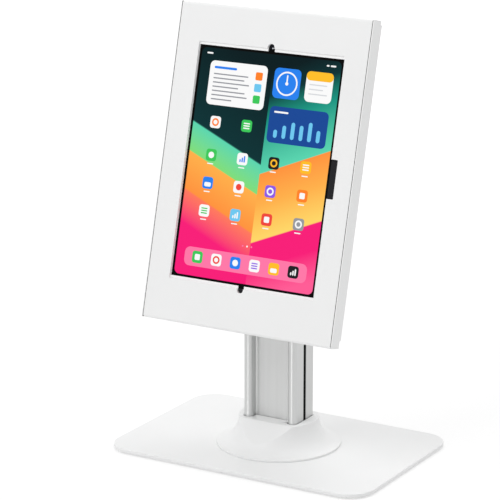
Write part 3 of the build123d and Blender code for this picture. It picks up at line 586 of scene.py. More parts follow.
def plated_steel(name, colour, roughness):
    """Plated or machined metal, with a slight cloud in its skin."""
    return grainy_finish(
        name, colour, roughness, grains=500.0, depth=0.008 * MM, cloud_tone=0.88, Metallic=1.0
    )


zinc = plated_steel("zinc_plated_steel", ZINC, 0.32)
end_screw_rings = [
    (END_SOCKET_DEPTH, 0), (END_SOCKET_DEPTH, END_SOCKET, "hexagon"),
    (SCREW_EDGE, END_SOCKET, "hexagon"), (0, END_SOCKET + SCREW_EDGE, "hexagon"),
    (0, END_HEAD_RADIUS - SCREW_EDGE), (SCREW_EDGE, END_HEAD_RADIUS),
    (END_HEAD_HEIGHT, END_SHANK_RADIUS), (END_LENGTH - 2 * SCREW_EDGE, END_SHANK_RADIUS),
    (END_LENGTH, END_SHANK_RADIUS - 2 * SCREW_EDGE), (END_LENGTH, 0),
]
for node, flip in (("column_screws", 0), ("bracket_screws", math.pi)):
    low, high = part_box(node)
    heads = Matrix.Translation((0, (post_y + rear_ports_y) / 2, high.z if flip else low.z))
    screws = on_grid(
        turned(node + "_set", end_screw_rings), heads @ Matrix.Rotation(flip, 4, "X"),
        2 * post_x, rear_ports_y - post_y, zinc,
    )
    stands_for(screws, "stand", node)

# Collar
# A white moulded cover round the foot of the column. It flares out to a thin round rim, and two
# flat facets, one in front and one behind, cut its upper part. It hides the joint to the base.
COLLAR_RADIUS = 64.5 * MM
COLLAR_TOP_RADIUS = 41.5 * MM
COLLAR_RIM = 2.2 * MM
COLLAR_WALL = 2.5 * MM
COLLAR_GAP = 0.9 * MM
COLLAR_EDGE = 0.45 * MM
FACET_TOP = 27.0 * MM
FACET_FOOT = 48.0 * MM
FACET_FOOT_HEIGHT = 10.7 * MM
FLARE_STEPS = 44
RING_STEPS = 40
CHORD_STEPS = 14
COLLAR_WHITE = (0.85, 0.853, 0.853, 1)

collar_low, collar_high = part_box("column_collar")
collar_height = collar_high.z - collar_low.z


def collar_ring(turn, inset):
    """One level of the flare, which is a quarter ellipse cut by the two facets, as points."""
    flare = COLLAR_RADIUS - COLLAR_TOP_RADIUS
    radius = COLLAR_RADIUS - inset - flare * math.cos(turn)
    height = collar_height - inset - (collar_height - COLLAR_RIM) * math.sin(turn)
    slope = (FACET_FOOT - FACET_TOP) / (collar_height - FACET_FOOT_HEIGHT)
    facet = FACET_TOP + (collar_height - height) * slope - inset * math.hypot(1, slope)
    cut = height + inset > FACET_FOOT_HEIGHT and facet < radius
    reach = math.asin(facet / radius) if cut else math.pi / 2
    ring = []
    for side in (1, -1):
        for step in range(RING_STEPS):
            angle = reach * (2 * step / RING_STEPS - 1)
            ring.append((side * radius * math.cos(angle), side * radius * math.sin(angle), height))
        for step in range(CHORD_STEPS):
            along = radius * math.cos(reach) * (1 - 2 * step / CHORD_STEPS)
            ring.append((side * along, side * radius * math.sin(reach), height))
    return ring


def collar_mesh():
    """Closed shell of the collar, with the hole that the column comes up through."""
    build = bmesh.new()

    def level(points):
        return [build.verts.new(point) for point in points]

    turns = [math.pi / 2 * step / FLARE_STEPS for step in range(FLARE_STEPS + 1)]
    outside = [level(collar_ring(turn, 0)) for turn in turns]
    inside = [level(collar_ring(turn, COLLAR_WALL)) for turn in turns]
    for shell in (outside, inside):
        shell.append(level((corner.co.x, corner.co.y, 0) for corner in shell[-1]))
    for shell in (outside, inside):
        for low, high in zip(shell, shell[1:]):
            band(build, low, high)
    band(build, outside[-1], inside[-1])
    hole = []
    for index, (x, y) in enumerate(column_outside):
        before, after = column_outside[index - 1], column_outside[(index + 1) % len(column_outside)]
        along = Vector((after[0] - before[0], after[1] - before[1])).normalized()
        x, y = x + along.y * COLLAR_GAP, y - along.x * COLLAR_GAP
        if abs(x) > slot_floor + SLOT_DEPTH / 2 or not slot_front < y < slot_rear:
            hole.append((x, y))
    mouth = level((x, y, collar_height) for x, y in hole)
    throat = level((x, y, collar_height - COLLAR_WALL) for x, y in hole)
    band(build, mouth, throat)
    for loops in ((outside[0], mouth), (inside[0], throat)):
        edges = []
        for loop in loops:
            for step in range(len(loop)):
                pair = (loop[step], loop[(step + 1) % len(loop)])
                edges.append(build.edges.get(pair) or build.edges.new(pair))
        bmesh.ops.triangle_fill(build, use_beauty=True, edges=edges)
    bmesh.ops.remove_doubles(build, verts=build.verts, dist=WELD_GAP)
    mesh = outward_mesh(build, "collar_moulding")
    mesh.transform(Matrix.Translation((0, 0, collar_low.z)))
    mesh.shade_smooth()
    return mesh


collar_plastic = grainy_finish(
    "moulded_white", COLLAR_WHITE, roughness=0.5, grains=1500.0, depth=0.02 * MM, cloud_tone=0.985
)
collar = round_edges(show("collar_moulding", collar_mesh(), collar_plastic), COLLAR_EDGE)
stands_for(collar, "stand", "column_collar")

# Tilt bracket
# A machined aluminium block on top of the column, with two ears that carry the tilt bolt. Its
# corners are milled round and its edges broken.
BRACKET_EDGE = 0.45 * MM
MACHINED = (0.62, 0.63, 0.645, 1)

bracket_metal = plated_steel("machined_aluminium", MACHINED, 0.4)
worked_copy("pivot_bracket", "tilt_bracket", BRACKET_EDGE, bracket_metal, "stand")

# Tilt bolt, nut and washers
# An 8 mm socket bolt through both ears, with a hexagon nut on its left end and a nylon washer
# on each side of the knuckle. Their friction holds the head at its angle.
TILT_SHANK = 4.0 * MM
TILT_HEAD = 6.5 * MM
TILT_HEAD_HEIGHT = 7.0 * MM
TILT_SOCKET = 3.4 * MM
TILT_SOCKET_DEPTH = 4.0 * MM
TILT_NUT = 7.5 * MM
BOLT_EDGE = 0.5 * MM
WASHER_EDGE = 0.12 * MM
NYLON = (0.72, 0.70, 0.63, 1)


def turned_piece(name, rings, place, finish, body, node, hollow=False):
    """Turned mesh in its place, as a piece that stands for a solid."""
    mesh = turned(name, rings, hollow)
    mesh.transform(place)
    return stands_for(show(name, mesh, finish), body, node)


bolt_low, bolt_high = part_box("tilt_bolt")
pivot_middle = (bolt_low + bolt_high) / 2
across_ears = (
    Matrix.Translation((0, pivot_middle.y, pivot_middle.z)) @ Matrix.Rotation(math.pi / 2, 4, "Y")
)
tip, top = bolt_low.x, bolt_high.x
head_foot = top - TILT_HEAD_HEIGHT
turned_piece("tilt_socket_bolt", [
    (tip, 0), (tip, TILT_SHANK - BOLT_EDGE), (tip + BOLT_EDGE, TILT_SHANK),
    (head_foot, TILT_SHANK), (head_foot, TILT_HEAD - BOLT_EDGE / 2),
    (head_foot + BOLT_EDGE / 2, TILT_HEAD), (top - BOLT_EDGE, TILT_HEAD),
    (top, TILT_HEAD - BOLT_EDGE), (top, TILT_SOCKET + SCREW_EDGE, "hexagon"),
    (top - SCREW_EDGE, TILT_SOCKET, "hexagon"), (top - TILT_SOCKET_DEPTH, TILT_SOCKET, "hexagon"),
    (top - TILT_SOCKET_DEPTH, 0),
], across_ears, zinc, "stand", "tilt_bolt")

nut_low, nut_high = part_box("tilt_nut")
nut_left, nut_right = nut_low.x, nut_high.x
nut_flat = TILT_NUT * math.cos(HALF_FLAT)
turned_piece("tilt_hexagon_nut", [
    (nut_left, TILT_SHANK + WASHER_EDGE), (nut_left, nut_flat),
    (nut_left + BOLT_EDGE, TILT_NUT, "hexagon"), (nut_right - BOLT_EDGE, TILT_NUT, "hexagon"),
    (nut_right, nut_flat), (nut_right, TILT_SHANK + WASHER_EDGE),
], across_ears, zinc, "stand", "tilt_nut", hollow=True)

nylon = grainy_finish(
    "natural_nylon", NYLON, roughness=0.45, grains=600.0, depth=0.01 * MM, Subsurface_Weight=0.15
)
worked_copy(
    "tilt_washers", "tilt_friction_washers", WASHER_EDGE, nylon, "stand"
)

# Tilt knuckle
# A cast iron piece, shot blasted and blackened, which tilts between the ears and carries the
# head on its round flange. A short pin on the flange stops the head at a quarter turn.
KNUCKLE_EDGE = 0.7 * MM
CAST_BLACK = (0.035, 0.035, 0.038, 1)

blackened = grainy_finish(
    "blackened_casting", CAST_BLACK, roughness=0.55, grains=1300.0, depth=0.09 * MM,
    cloud_tone=0.8, Metallic=0.55,
)
for node, name, edge, finish, slot in (
    ("tilt_knuckle", "knuckle_casting", KNUCKLE_EDGE, blackened, "knuckle_metal"),
    ("rotate_washer", "rotation_friction_washer", WASHER_EDGE, nylon, "washer_plastic"),
    ("rotate_bolt", "rotation_shoulder_bolt", WASHER_EDGE, zinc, "fastener_steel"),
    ("rotate_spring", "rotation_spring_washer", WASHER_EDGE, zinc, "fastener_steel"),
):
    worked_copy(node, name, edge, finish, "knuckle")

# Rear tray
# A folded steel tray, powder coated white like the base. Its side walls stand outside the front
# cover and end flush with it, and its back steps in at the top and the bottom. The two faces of
# the narrow seam between them carry a painted shade, near black, in place of the gap's shadow.
TRAY_EDGE = 0.22 * MM
PLATE_BACK = 21.8 * MM
SEAM_INSIDE = 107.3 * MM
SEAM_OUTSIDE = 108.5 * MM
SEAM_FACING = 0.8
SEAM_DEPTH = 3.5 * MM
# Near black of the painted shade on the seam faces, in place of the shadow in the narrow gap.
SEAM_PAINTED_SHADE = (0.05, 0.05, 0.05, 1)

turn_joint = next(joint for joint in frame["joints"] if joint["name"] == "head_rotate")
forwards = Vector(turn_joint["axis"]).normalized()
rightwards = Vector((1, 0, 0))
upwards = forwards.cross(rightwards)
face_middle = Vector(turn_joint["pos_m"]) + forwards * PLATE_BACK
head_turn = Matrix((rightwards, upwards, forwards)).transposed().to_4x4()
head_place = Matrix.Translation(face_middle) @ head_turn


def head_box(node):
    """Lowest and highest corner of a node in the head's own frame: right, up and forwards."""
    back = head_place.inverted()
    points = [back @ vertex.co for vertex in frame["nodes"][node].data.vertices]
    return (
        Vector(min(p[axis] for p in points) for axis in range(3)),
        Vector(max(p[axis] for p in points) for axis in range(3)),
    )


def seam_group():
    """Mask of the faces that look at each other across the seam between cover and tray, which take the
    painted seam shade.
    """
    group, start, end = effect_group(
        "seam_faces", ["Vector", "Normal", "Forwards"], ["Inside", "Outside", "Back"], ["Mask"]
    )

    def sideways(socket):
        parts = wire(group, "ShaderNodeSeparateXYZ", {0: start.outputs[socket]})
        return maths(group, "ABSOLUTE", parts.outputs["X"])

    depth = wire(group, "ShaderNodeVectorMath", {
        0: start.outputs["Vector"], 1: start.outputs["Forwards"],
    }, operation="DOT_PRODUCT").outputs["Value"]
    mask = maths(group, "GREATER_THAN", sideways("Vector"), start.outputs["Inside"])
    for test in (
        maths(group, "LESS_THAN", sideways("Vector"), start.outputs["Outside"]),
        maths(group, "GREATER_THAN", sideways("Normal"), SEAM_FACING),
        maths(group, "GREATER_THAN", depth, start.outputs["Back"]),
    ):
        mask = maths(group, "MULTIPLY", mask, test)
    group.links.new(mask, end.inputs["Mask"])
    return group


seam_faces = seam_group()
seam_back = face_middle.dot(forwards) + head_box("rear_tray")[1].z - SEAM_DEPTH


def coat_with_painted_seam_shade(name):
    """Powder coat with a painted shade, near black, on the faces in the seam."""
    material = powder_coat(name)
    tree = material.node_tree
    shader = tree.nodes["Principled BSDF"]
    shape = wire(tree, "ShaderNodeNewGeometry")
    seam = wire(tree, "ShaderNodeGroup", {
        "Vector": object_place(tree), "Normal": shape.outputs["True Normal"],
        "Forwards": forwards, "Inside": SEAM_INSIDE, "Outside": SEAM_OUTSIDE, "Back": seam_back,
    }, node_tree=seam_faces)
    coat = shader.inputs["Base Color"].links[0].from_socket
    # Painted shade: the masked seam faces take the near black instead of the coat.
    feed(tree, shader, Base_Color=mixed(tree, seam.outputs["Mask"], coat, SEAM_PAINTED_SHADE))
    return material


worked_copy("rear_tray", "tray_folding", TRAY_EDGE, coat_with_painted_seam_shade("tray_coat"), "head")

# Mounting plate
# A square plate on the back of the tray, on the usual 100 mm square of screws, with a spare
# 75 mm square. A half-round slot in it takes the stop pin of the knuckle.
PLATE_EDGE = 0.3 * MM
PLATE_PITCH = 100.0 * MM
PAN_RADIUS = 3.8 * MM
PAN_HEIGHT = 2.2 * MM
PAN_SHANK = 1.95 * MM
PAN_LENGTH = 6.5 * MM
PAN_SOCKET = 1.4 * MM
PAN_SOCKET_DEPTH = 1.2 * MM
PAN_ROUND = 0.8 * MM
NUT_RADIUS = 3.6 * MM
NUT_NECK = 2.95 * MM
NUT_BORE = 2.0 * MM
NUT_HEIGHT = 3.2 * MM
SHEET = 1.2 * MM

worked_copy(
    "mounting_plate", "square_mounting_plate", PLATE_EDGE, powder_coat("plate_coat"), "head",
)

screws_back = head_box("plate_screws")[0].z
pan_rings = [
    (PAN_LENGTH, 0), (PAN_LENGTH, PAN_SHANK), (0, PAN_SHANK), (0, PAN_RADIUS),
    (PAN_ROUND - PAN_HEIGHT, PAN_RADIUS),
    (-PAN_HEIGHT + PAN_ROUND / 4, PAN_RADIUS - PAN_ROUND / 3),
    (-PAN_HEIGHT, PAN_RADIUS - PAN_ROUND), (-PAN_HEIGHT, PAN_SOCKET + SCREW_EDGE, "hexagon"),
    (SCREW_EDGE - PAN_HEIGHT, PAN_SOCKET, "hexagon"),
    (PAN_SOCKET_DEPTH - PAN_HEIGHT, PAN_SOCKET, "hexagon"), (PAN_SOCKET_DEPTH - PAN_HEIGHT, 0),
]
plate_screws = on_grid(
    turned("plate_pan_screws", pan_rings),
    head_place @ Matrix.Translation((0, 0, screws_back + PAN_HEIGHT)),
    PLATE_PITCH, PLATE_PITCH, zinc,
)
stands_for(plate_screws, "head", "plate_screws")

nuts_low, nuts_high = head_box("clinch_nuts")
nut_rings = [
    (nuts_low.z, NUT_BORE), (nuts_low.z, NUT_NECK), (nuts_high.z - NUT_HEIGHT, NUT_NECK),
    (nuts_high.z - NUT_HEIGHT, NUT_RADIUS), (nuts_high.z - SCREW_EDGE, NUT_RADIUS),
    (nuts_high.z, NUT_RADIUS - SCREW_EDGE), (nuts_high.z, NUT_BORE),
]
clinch_nuts = on_grid(
    turned("pressed_nuts", nut_rings, hollow=True), head_place, PLATE_PITCH, PLATE_PITCH, zinc
)
stands_for(clinch_nuts, "head", "clinch_nuts")

# Cable grommet
# A soft black rubber plug in the back of the tray, low in the middle. Its skin is closed, and
# it is only cut when a charging cable is led through.
GROMMET_NECK = 8.0 * MM
GROMMET_LIP = 10.5 * MM
GROMMET_DIMPLE = 5.0 * MM
GROMMET_FLANGE = 1.4 * MM
LIP_ROUND = 0.5 * MM

grommet_low, grommet_high = head_box("cable_grommet")
outer_back, inner_front = grommet_low.z, grommet_high.z
skin = outer_back + GROMMET_FLANGE
turned_piece("grommet_plug", [
    (skin, 0), (skin, GROMMET_DIMPLE - LIP_ROUND), (skin - LIP_ROUND / 2, GROMMET_DIMPLE),
    (outer_back + LIP_ROUND, GROMMET_DIMPLE), (outer_back, GROMMET_DIMPLE + LIP_ROUND),
    (outer_back, GROMMET_LIP - 2 * LIP_ROUND),
    (outer_back + LIP_ROUND / 3, GROMMET_LIP - LIP_ROUND / 2),
    (outer_back + LIP_ROUND, GROMMET_LIP), (skin, GROMMET_LIP), (skin, GROMMET_NECK),
    (skin + SHEET, GROMMET_NECK), (skin + SHEET, GROMMET_LIP),
    (inner_front - LIP_ROUND, GROMMET_LIP), (inner_front, GROMMET_LIP - LIP_ROUND),
    (inner_front, 0),
], head_place @ Matrix.Translation((0, (grommet_low.y + grommet_high.y) / 2, 0)), rubber,
    "head", "cable_grommet")

# Cam lock
# A nickel plated cylinder lock near the top of the back. Its plug turns the zinc plated cam
# behind the catch of the cover. A hexagon nut inside the tray holds it.
LOCK_RADIUS = 8.0 * MM
LOCK_FLANGE = 10.0 * MM
LOCK_FLANGE_HEIGHT = 2.0 * MM
LOCK_BORE = 5.55 * MM
LOCK_NUT = 11.0 * MM
LOCK_ROUND = 0.7 * MM
PLUG_EDGE = 0.15 * MM
NICKEL = (0.74, 0.73, 0.71, 1)

nickel = plated_steel("bright_nickel", NICKEL, 0.14)
body_low, body_high = head_box("lock_body")
lock_place = head_place @ Matrix.Translation((0, (body_low.y + body_high.y) / 2, 0))
lock_back, lock_front = body_low.z, body_high.z
flange_front = lock_back + LOCK_FLANGE_HEIGHT
turned_piece("lock_barrel", [
    (lock_front, LOCK_BORE), (lock_back + PLUG_EDGE, LOCK_BORE),
    (lock_back, LOCK_BORE + PLUG_EDGE), (lock_back, LOCK_FLANGE - 2 * LOCK_ROUND),
    (lock_back + LOCK_ROUND / 3, LOCK_FLANGE - LOCK_ROUND / 2),
    (lock_back + LOCK_ROUND, LOCK_FLANGE), (flange_front, LOCK_FLANGE),
    (flange_front, LOCK_RADIUS), (lock_front - PLUG_EDGE, LOCK_RADIUS),
    (lock_front, LOCK_RADIUS - PLUG_EDGE),
], lock_place, nickel, "head", "lock_body", hollow=True)

ring_low, ring_high = head_box("lock_nut")
turned_piece("lock_hexagon_nut", [
    (ring_low.z, LOCK_RADIUS + PLUG_EDGE), (ring_low.z, LOCK_NUT, "hexagon"),
    (ring_high.z - BOLT_EDGE, LOCK_NUT, "hexagon"), (ring_high.z, LOCK_NUT * math.cos(HALF_FLAT)),
    (ring_high.z, LOCK_RADIUS + PLUG_EDGE),
], lock_place, zinc, "head", "lock_nut", hollow=True)

for node, name, finish, slot in (
    ("lock_plug", "lock_key_plug", nickel, "lock_chrome"),
    ("lock_cam", "lock_cam_arm", zinc, "fastener_steel"),
    ("cam_screw", "lock_cam_screw", zinc, "fastener_steel"),
):
    worked_copy(node, name, PLUG_EDGE, finish, "lock")

# Tablet holders
# Black moulded corners keep the tablet in the middle of the tray, and soft foam pads behind it
# press it forwards against the liner of the cover.
HOLDER_EDGE = 0.4 * MM
PAD_WIDTH = 24.0 * MM
PAD_HEIGHT = 30.0 * MM
PAD_CORNER = 2.0 * MM
PAD_BULGE = 0.5 * MM
PAD_LEVELS = 9
PAD_CREASE = math.radians(60)
HOLDER_BLACK = (0.02, 0.02, 0.022, 1)
FOAM_GREY = (0.03, 0.03, 0.032, 1)

holder_plastic = grainy_finish(
    "black_moulding", HOLDER_BLACK, roughness=0.5, grains=1100.0, depth=0.03 * MM
)
worked_copy(
    "corner_holders", "holder_corners", HOLDER_EDGE, holder_plastic, "head"
)

pads_low, pads_high = head_box("foam_pads")


def pad_mesh():
    """One foam pad, pressed flat on both faces so that its sides bulge a little."""
    build = bmesh.new()
    levels = []
    for step in range(PAD_LEVELS):
        share = step / (PAD_LEVELS - 1)
        bulge = 2 * PAD_BULGE * (math.sin(math.pi * share) - 1)
        outline = round_rectangle(PAD_WIDTH + bulge, PAD_HEIGHT + bulge, PAD_CORNER, steps=6)
        height = pads_low.z + share * (pads_high.z - pads_low.z)
        levels.append([build.verts.new((x, y, height)) for x, y in outline])
    for low, high in zip(levels, levels[1:]):
        band(build, low, high)
    build.faces.new(levels[-1])
    build.faces.new(reversed(levels[0]))
    mesh = outward_mesh(build, "foam_rests")
    mesh.shade_smooth()
    mesh.set_sharp_from_angle(angle=PAD_CREASE)
    return mesh


foam = grainy_finish(
    "dark_foam", FOAM_GREY, roughness=0.92, grains=2200.0, depth=0.12 * MM, cloud_tone=0.7
)
pads_middle = (pads_low + pads_high) / 2
pads = on_grid(
    pad_mesh(), head_place @ Matrix.Translation((0, pads_middle.y, 0)),
    pads_high.x - pads_low.x - PAD_WIDTH, pads_high.y - pads_low.y - PAD_HEIGHT, foam,
)
stands_for(pads, "head", "foam_pads")

# Tablet
# A thin tablet of the 11 inch class. Its aluminium back is blasted and anodised dark grey,
# and holds a two-cell battery and the circuit board.
TABLET_EDGE = 0.2 * MM
TABLET_GREY = (0.05, 0.052, 0.057, 1)
POUCH_BLACK = (0.03, 0.03, 0.03, 1)
BOARD_GREEN = (0.01, 0.09, 0.05, 1)

tablet_metal = grainy_finish(
    "blasted_dark_metal", TABLET_GREY, roughness=0.42, grains=3000.0, depth=0.01 * MM,
    cloud_tone=0.93, Metallic=0.8,
)
worked_copy("tablet_body", "tablet_back_shell", TABLET_EDGE, tablet_metal, "head")
frame["nodes"]["tablet_battery"].data.materials[0] = grainy_finish(
    "pouch_film", POUCH_BLACK, roughness=0.35, grains=300.0, depth=0.05 * MM
)
frame["nodes"]["tablet_board"].data.materials[0] = grainy_finish(
    "solder_mask", BOARD_GREEN, roughness=0.3, grains=900.0, depth=0.02 * MM, cloud_tone=0.6
)

# Screen
# One pane of glass over the display, with a black border printed behind its edge. The lit
# picture is a plain pattern like folded paper, in bright bands of colour.
PANE_CORNER = 17.4 * MM
PANE_EDGE = 0.15 * MM
DISPLAY_WIDTH = 158.6 * MM
DISPLAY_HEIGHT = 228.5 * MM
DISPLAY_CORNER = 5.5 * MM
BORDER_WIDTH = 163.4 * MM
BORDER_HEIGHT = 238.4 * MM
BORDER_BLACK = (0.002, 0.002, 0.002, 1)
EDGE_GREY = (0.022, 0.022, 0.025, 1)
UNLIT = (0, 0, 0, 1)
WINDOW_RISE = 2.35 * MM
DISPLAY_SHIFT = -0.4 * MM
GLOW = 1.0
GLASS_GLOSS = 0.04
SMEARS_PER_METRE = 40.0
GLASS_ROUGHNESS = (0.06, 0.14)


def srgb(red, green, blue):
    """Linear colour from the usual values up to 255."""
    linear = []
    for value in (red / 255, green / 255, blue / 255):
        linear.append(value / 12.92 if value <= 0.04045 else ((value + 0.055) / 1.055) ** 2.4)
    return (*linear, 1)


NIGHT = srgb(2, 26, 30)
DEEP_TEAL = srgb(4, 50, 53)
TEAL = srgb(25, 150, 130)
MINT = srgb(90, 214, 176)
LEAF = srgb(128, 222, 120)
ORANGE = srgb(255, 146, 60)
AMBER = srgb(255, 176, 74)
YELLOW = srgb(255, 216, 104)
CORAL = srgb(255, 122, 92)
MAGENTA = srgb(248, 26, 120)
ROSE = srgb(255, 92, 150)
FOLD_LEFT = [
    (0.0, MAGENTA), (0.16, MAGENTA), (0.30, CORAL), (0.302, ORANGE), (0.47, AMBER), (0.472, LEAF),
    (0.60, MINT), (0.602, DEEP_TEAL), (1.0, NIGHT),
]
FOLD_RIGHT = [
    (0.0, ROSE), (0.14, MAGENTA), (0.26, MAGENTA), (0.262, YELLOW), (0.42, AMBER), (0.56, ORANGE),
    (0.562, MINT), (0.78, TEAL), (0.90, DEEP_TEAL), (1.0, NIGHT),
]
FOLD_LINE = 4.0 * MM
FOLD_SLOPE = 0.42
FOLD_LIFT_SHARE = 0.58


def ramp(tree, factor, stops):
    """Colour ramp from a list of places and colours."""
    node = wire(tree, "ShaderNodeValToRGB", {"Fac": factor})
    elements = node.color_ramp.elements
    for index, (place, colour) in enumerate(stops):
        element = elements[index] if index < 2 else elements.new(place)
        element.position = place
        element.color = colour
    return node.outputs["Color"]


def screen_finish():
    """Glass over the lit picture, whose bands fold at one upright line, inside a black border."""
    material, tree, shader = new_finish("lit_screen")
    place = object_place(tree)
    centre = head_place @ Vector((DISPLAY_SHIFT, WINDOW_RISE, 0))
    moved = wire(tree, "ShaderNodeVectorMath", {0: place, 1: centre}, operation="SUBTRACT")
    level = wire(tree, "ShaderNodeMapping", {
        "Vector": moved.outputs["Vector"], "Rotation": (math.atan2(forwards.z, -forwards.y), 0, 0),
    })
    parts = wire(tree, "ShaderNodeSeparateXYZ", {0: level.outputs["Vector"]})
    across, up = parts.outputs["X"], parts.outputs["Z"]

    def beyond(value, size):
        return maths(tree, "SUBTRACT", maths(tree, "ABSOLUTE", value), size)

    from_fold = maths(tree, "SUBTRACT", across, FOLD_LINE)
    rise = maths(tree, "MULTIPLY", maths(tree, "ABSOLUTE", from_fold), FOLD_SLOPE)
    share = maths(tree, "DIVIDE", maths(tree, "SUBTRACT", up, rise), DISPLAY_HEIGHT)
    height = maths(tree, "ADD", share, FOLD_LIFT_SHARE)
    right = maths(tree, "GREATER_THAN", from_fold, 0.0)
    picture = mixed(tree, right, ramp(tree, height, FOLD_LEFT), ramp(tree, height, FOLD_RIGHT))
    squares = []
    for value, size in ((across, DISPLAY_WIDTH), (up, DISPLAY_HEIGHT)):
        reach = maths(tree, "MAXIMUM", beyond(value, size / 2 - DISPLAY_CORNER), 0.0)
        squares.append(maths(tree, "POWER", reach, 2.0))
    corner = maths(tree, "SQRT", maths(tree, "ADD", *squares))
    lit = maths(tree, "LESS_THAN", corner, DISPLAY_CORNER)
    outermost = maths(
        tree, "MAXIMUM", beyond(across, BORDER_WIDTH / 2), beyond(up, BORDER_HEIGHT / 2)
    )
    edge = maths(tree, "GREATER_THAN", outermost, 0.0)
    feed(
        tree, shader, Base_Color=mixed(tree, edge, BORDER_BLACK, EDGE_GREY),
        Emission_Color=mixed(tree, lit, UNLIT, picture),
        Roughness=between(tree, noise(tree, place, SMEARS_PER_METRE, 2.0), *GLASS_ROUGHNESS),
    )
    preset(shader, Emission_Strength=GLOW, Specular_IOR_Level=GLASS_GLOSS)
    return material


pane_low, pane_high = head_box("tablet_screen")
pane_outline = round_rectangle(
    pane_high.x - pane_low.x, pane_high.y - pane_low.y, PANE_CORNER, 0, WINDOW_RISE, 24
)
pane = drawn(
    "screen_pane", [pane_outline], pane_high.z - pane_low.z,
    head_place @ Matrix.Translation((0, 0, pane_low.z)), PANE_EDGE, screen_finish(),
)
stands_for(pane, "head", "tablet_screen")

# Screen tiles
# What the display shows over its background: cards, tiles and bars of no real programme, and
# above them the camera lens with a painted glint. Each is a lit film, and they lie on the glass
# and on each other. All but the thickness of a film is in millimetres from the middle of the
# window, and a card has its left, right, lower, upper edge.
FILM = 0.03 * MM
TILE = 12.0
TILE_CORNER = 2.8
CARD_CORNER = 5.0
NOTE_CARD = (-68, -2, 58, 102)
CLOCK_CARD = (6, 36, 72, 102)
MEMO_CARD = (42, 72, 72, 102)
CHART_CARD = (6, 72, 28, 64)
CHART_HEIGHTS = (8, 13, 17, 15, 19, 12)
STATUS_HEIGHT = 109
STATUS_BARS = ((-70, 7), (64, 3), (70, 6))
COLUMN_PLACES = (-54, -18, 18, 54)
ROW_PLACES = (41, 8, -20, -48)
LABEL_DROP = 8.7
DOTS_HEIGHT = -77
DOCK_PLACES = (-55, -33, -11, 11, 33, 55)
DOCK_HEIGHT = -95
LENS_HEIGHT = 120.6
DISC_CORNER = 0.999
BAR_CORNER = 0.49
PAPER = srgb(250, 250, 250)
INK = srgb(30, 30, 34)
GRASS = srgb(60, 200, 90)
SKY_BLUE = srgb(40, 130, 240)
SUN = srgb(255, 190, 40)
POPPY = srgb(240, 70, 60)
VIOLET = srgb(140, 90, 230)
CLAY = srgb(255, 130, 40)
AQUA = srgb(110, 200, 240)
SLATE = srgb(150, 152, 158)
MIST = srgb(214, 216, 220)
DEEP_BLUE = srgb(24, 72, 150)
PINK_GLASS = srgb(255, 120, 168)
LENS = srgb(14, 16, 24)

films = bmesh.new()
film_tint = films.loops.layers.float_color.new("tint")
glass_front = pane_high.z


def film(x, y, width, height, corner, level, tint, steps=5):
    """One lit film with round corners about its middle, so many levels up from the glass."""
    outline = round_rectangle(width * MM, height * MM, corner * MM, x * MM, y * MM, steps)
    low, high = (
        [films.verts.new((px, py, glass_front + rung * FILM)) for px, py in outline]
        for rung in (level - 1, level)
    )
    faces = [films.faces.new(high), films.faces.new(reversed(low))] + band(films, low, high)
    for face in faces:
        for loop in face.loops:
            loop[film_tint] = tint


def disc(x, y, radius, level, tint):
    """Round film."""
    film(x, y, 2 * radius, 2 * radius, DISC_CORNER * radius, level, tint, steps=7)


def bar(x, y, width, height, level, tint):
    """Film with round ends."""
    film(x, y, width, height, BAR_CORNER * min(width, height), level, tint, steps=3)


def app(x, y, level, ground, ink, kind):
    """One square tile with a plain sign in its middle."""
    over = level + 1
    film(x, y, TILE, TILE, TILE_CORNER, level, ground)
    if kind == "dot":
        disc(x, y, 0.27 * TILE, over, ink)
    elif kind == "ring":
        disc(x, y, 0.33 * TILE, over, ink)
        disc(x, y, 0.19 * TILE, over + 1, ground)
    elif kind == "bars":
        for step in (-1, 0, 1):
            bar(x, y + step * 0.2 * TILE, 0.6 * TILE, 0.1 * TILE, over, ink)
    elif kind == "steps":
        for step, share in ((-1, 0.25), (0, 0.4), (1, 0.55)):
            foot = y + (share - 0.55) * TILE / 2
            bar(x + step * 0.2 * TILE, foot, 0.13 * TILE, share * TILE, over, ink)
    elif kind == "half":
        film(x, y - 0.13 * TILE, 0.62 * TILE, 0.36 * TILE, 0.12 * TILE, over, ink)
    elif kind == "square":
        film(x, y, 0.5 * TILE, 0.5 * TILE, 0.1 * TILE, over, ink)


def card(place, tint):
    """Ground of a card."""
    left, right, foot, head = place
    film((left + right) / 2, (foot + head) / 2, right - left, head - foot, CARD_CORNER, 1, tint)


def text_lines(place, inset, drop, lengths, pitch, thick, tint):
    """Ragged bars below each other on a card, as the lines of a text."""
    for step, length in enumerate(lengths):
        bar(place[0] + inset + length / 2, place[3] - drop - step * pitch, length, thick, 2, tint)


card(NOTE_CARD, PAPER)
text_lines(NOTE_CARD, 5, 6.5, lengths=(26,), pitch=4, thick=2.4, tint=SKY_BLUE)
text_lines(
    NOTE_CARD, 5, 13, lengths=(40, 36, 42, 30, 38, 41, 24), pitch=4.2, thick=1.3, tint=SLATE
)
for step, tint in enumerate((CLAY, AQUA, GRASS)):
    film(NOTE_CARD[1] - 9, NOTE_CARD[3] - 11 - 11.5 * step, 8, 8, 1.4, 2, tint)
card(CLOCK_CARD, SKY_BLUE)
clock_x, clock_y = (CLOCK_CARD[0] + CLOCK_CARD[1]) / 2, (CLOCK_CARD[2] + CLOCK_CARD[3]) / 2
disc(clock_x, clock_y, 12, 2, PAPER)
disc(clock_x, clock_y, 10.4, 3, SKY_BLUE)
bar(clock_x, clock_y + 4, 1.5, 9, 4, PAPER)
disc(clock_x, clock_y, 1.7, 4, PAPER)
card(MEMO_CARD, PAPER)
film((MEMO_CARD[0] + MEMO_CARD[1]) / 2, MEMO_CARD[3] - 4.5, 30, 9, 4.4, 2, SUN)
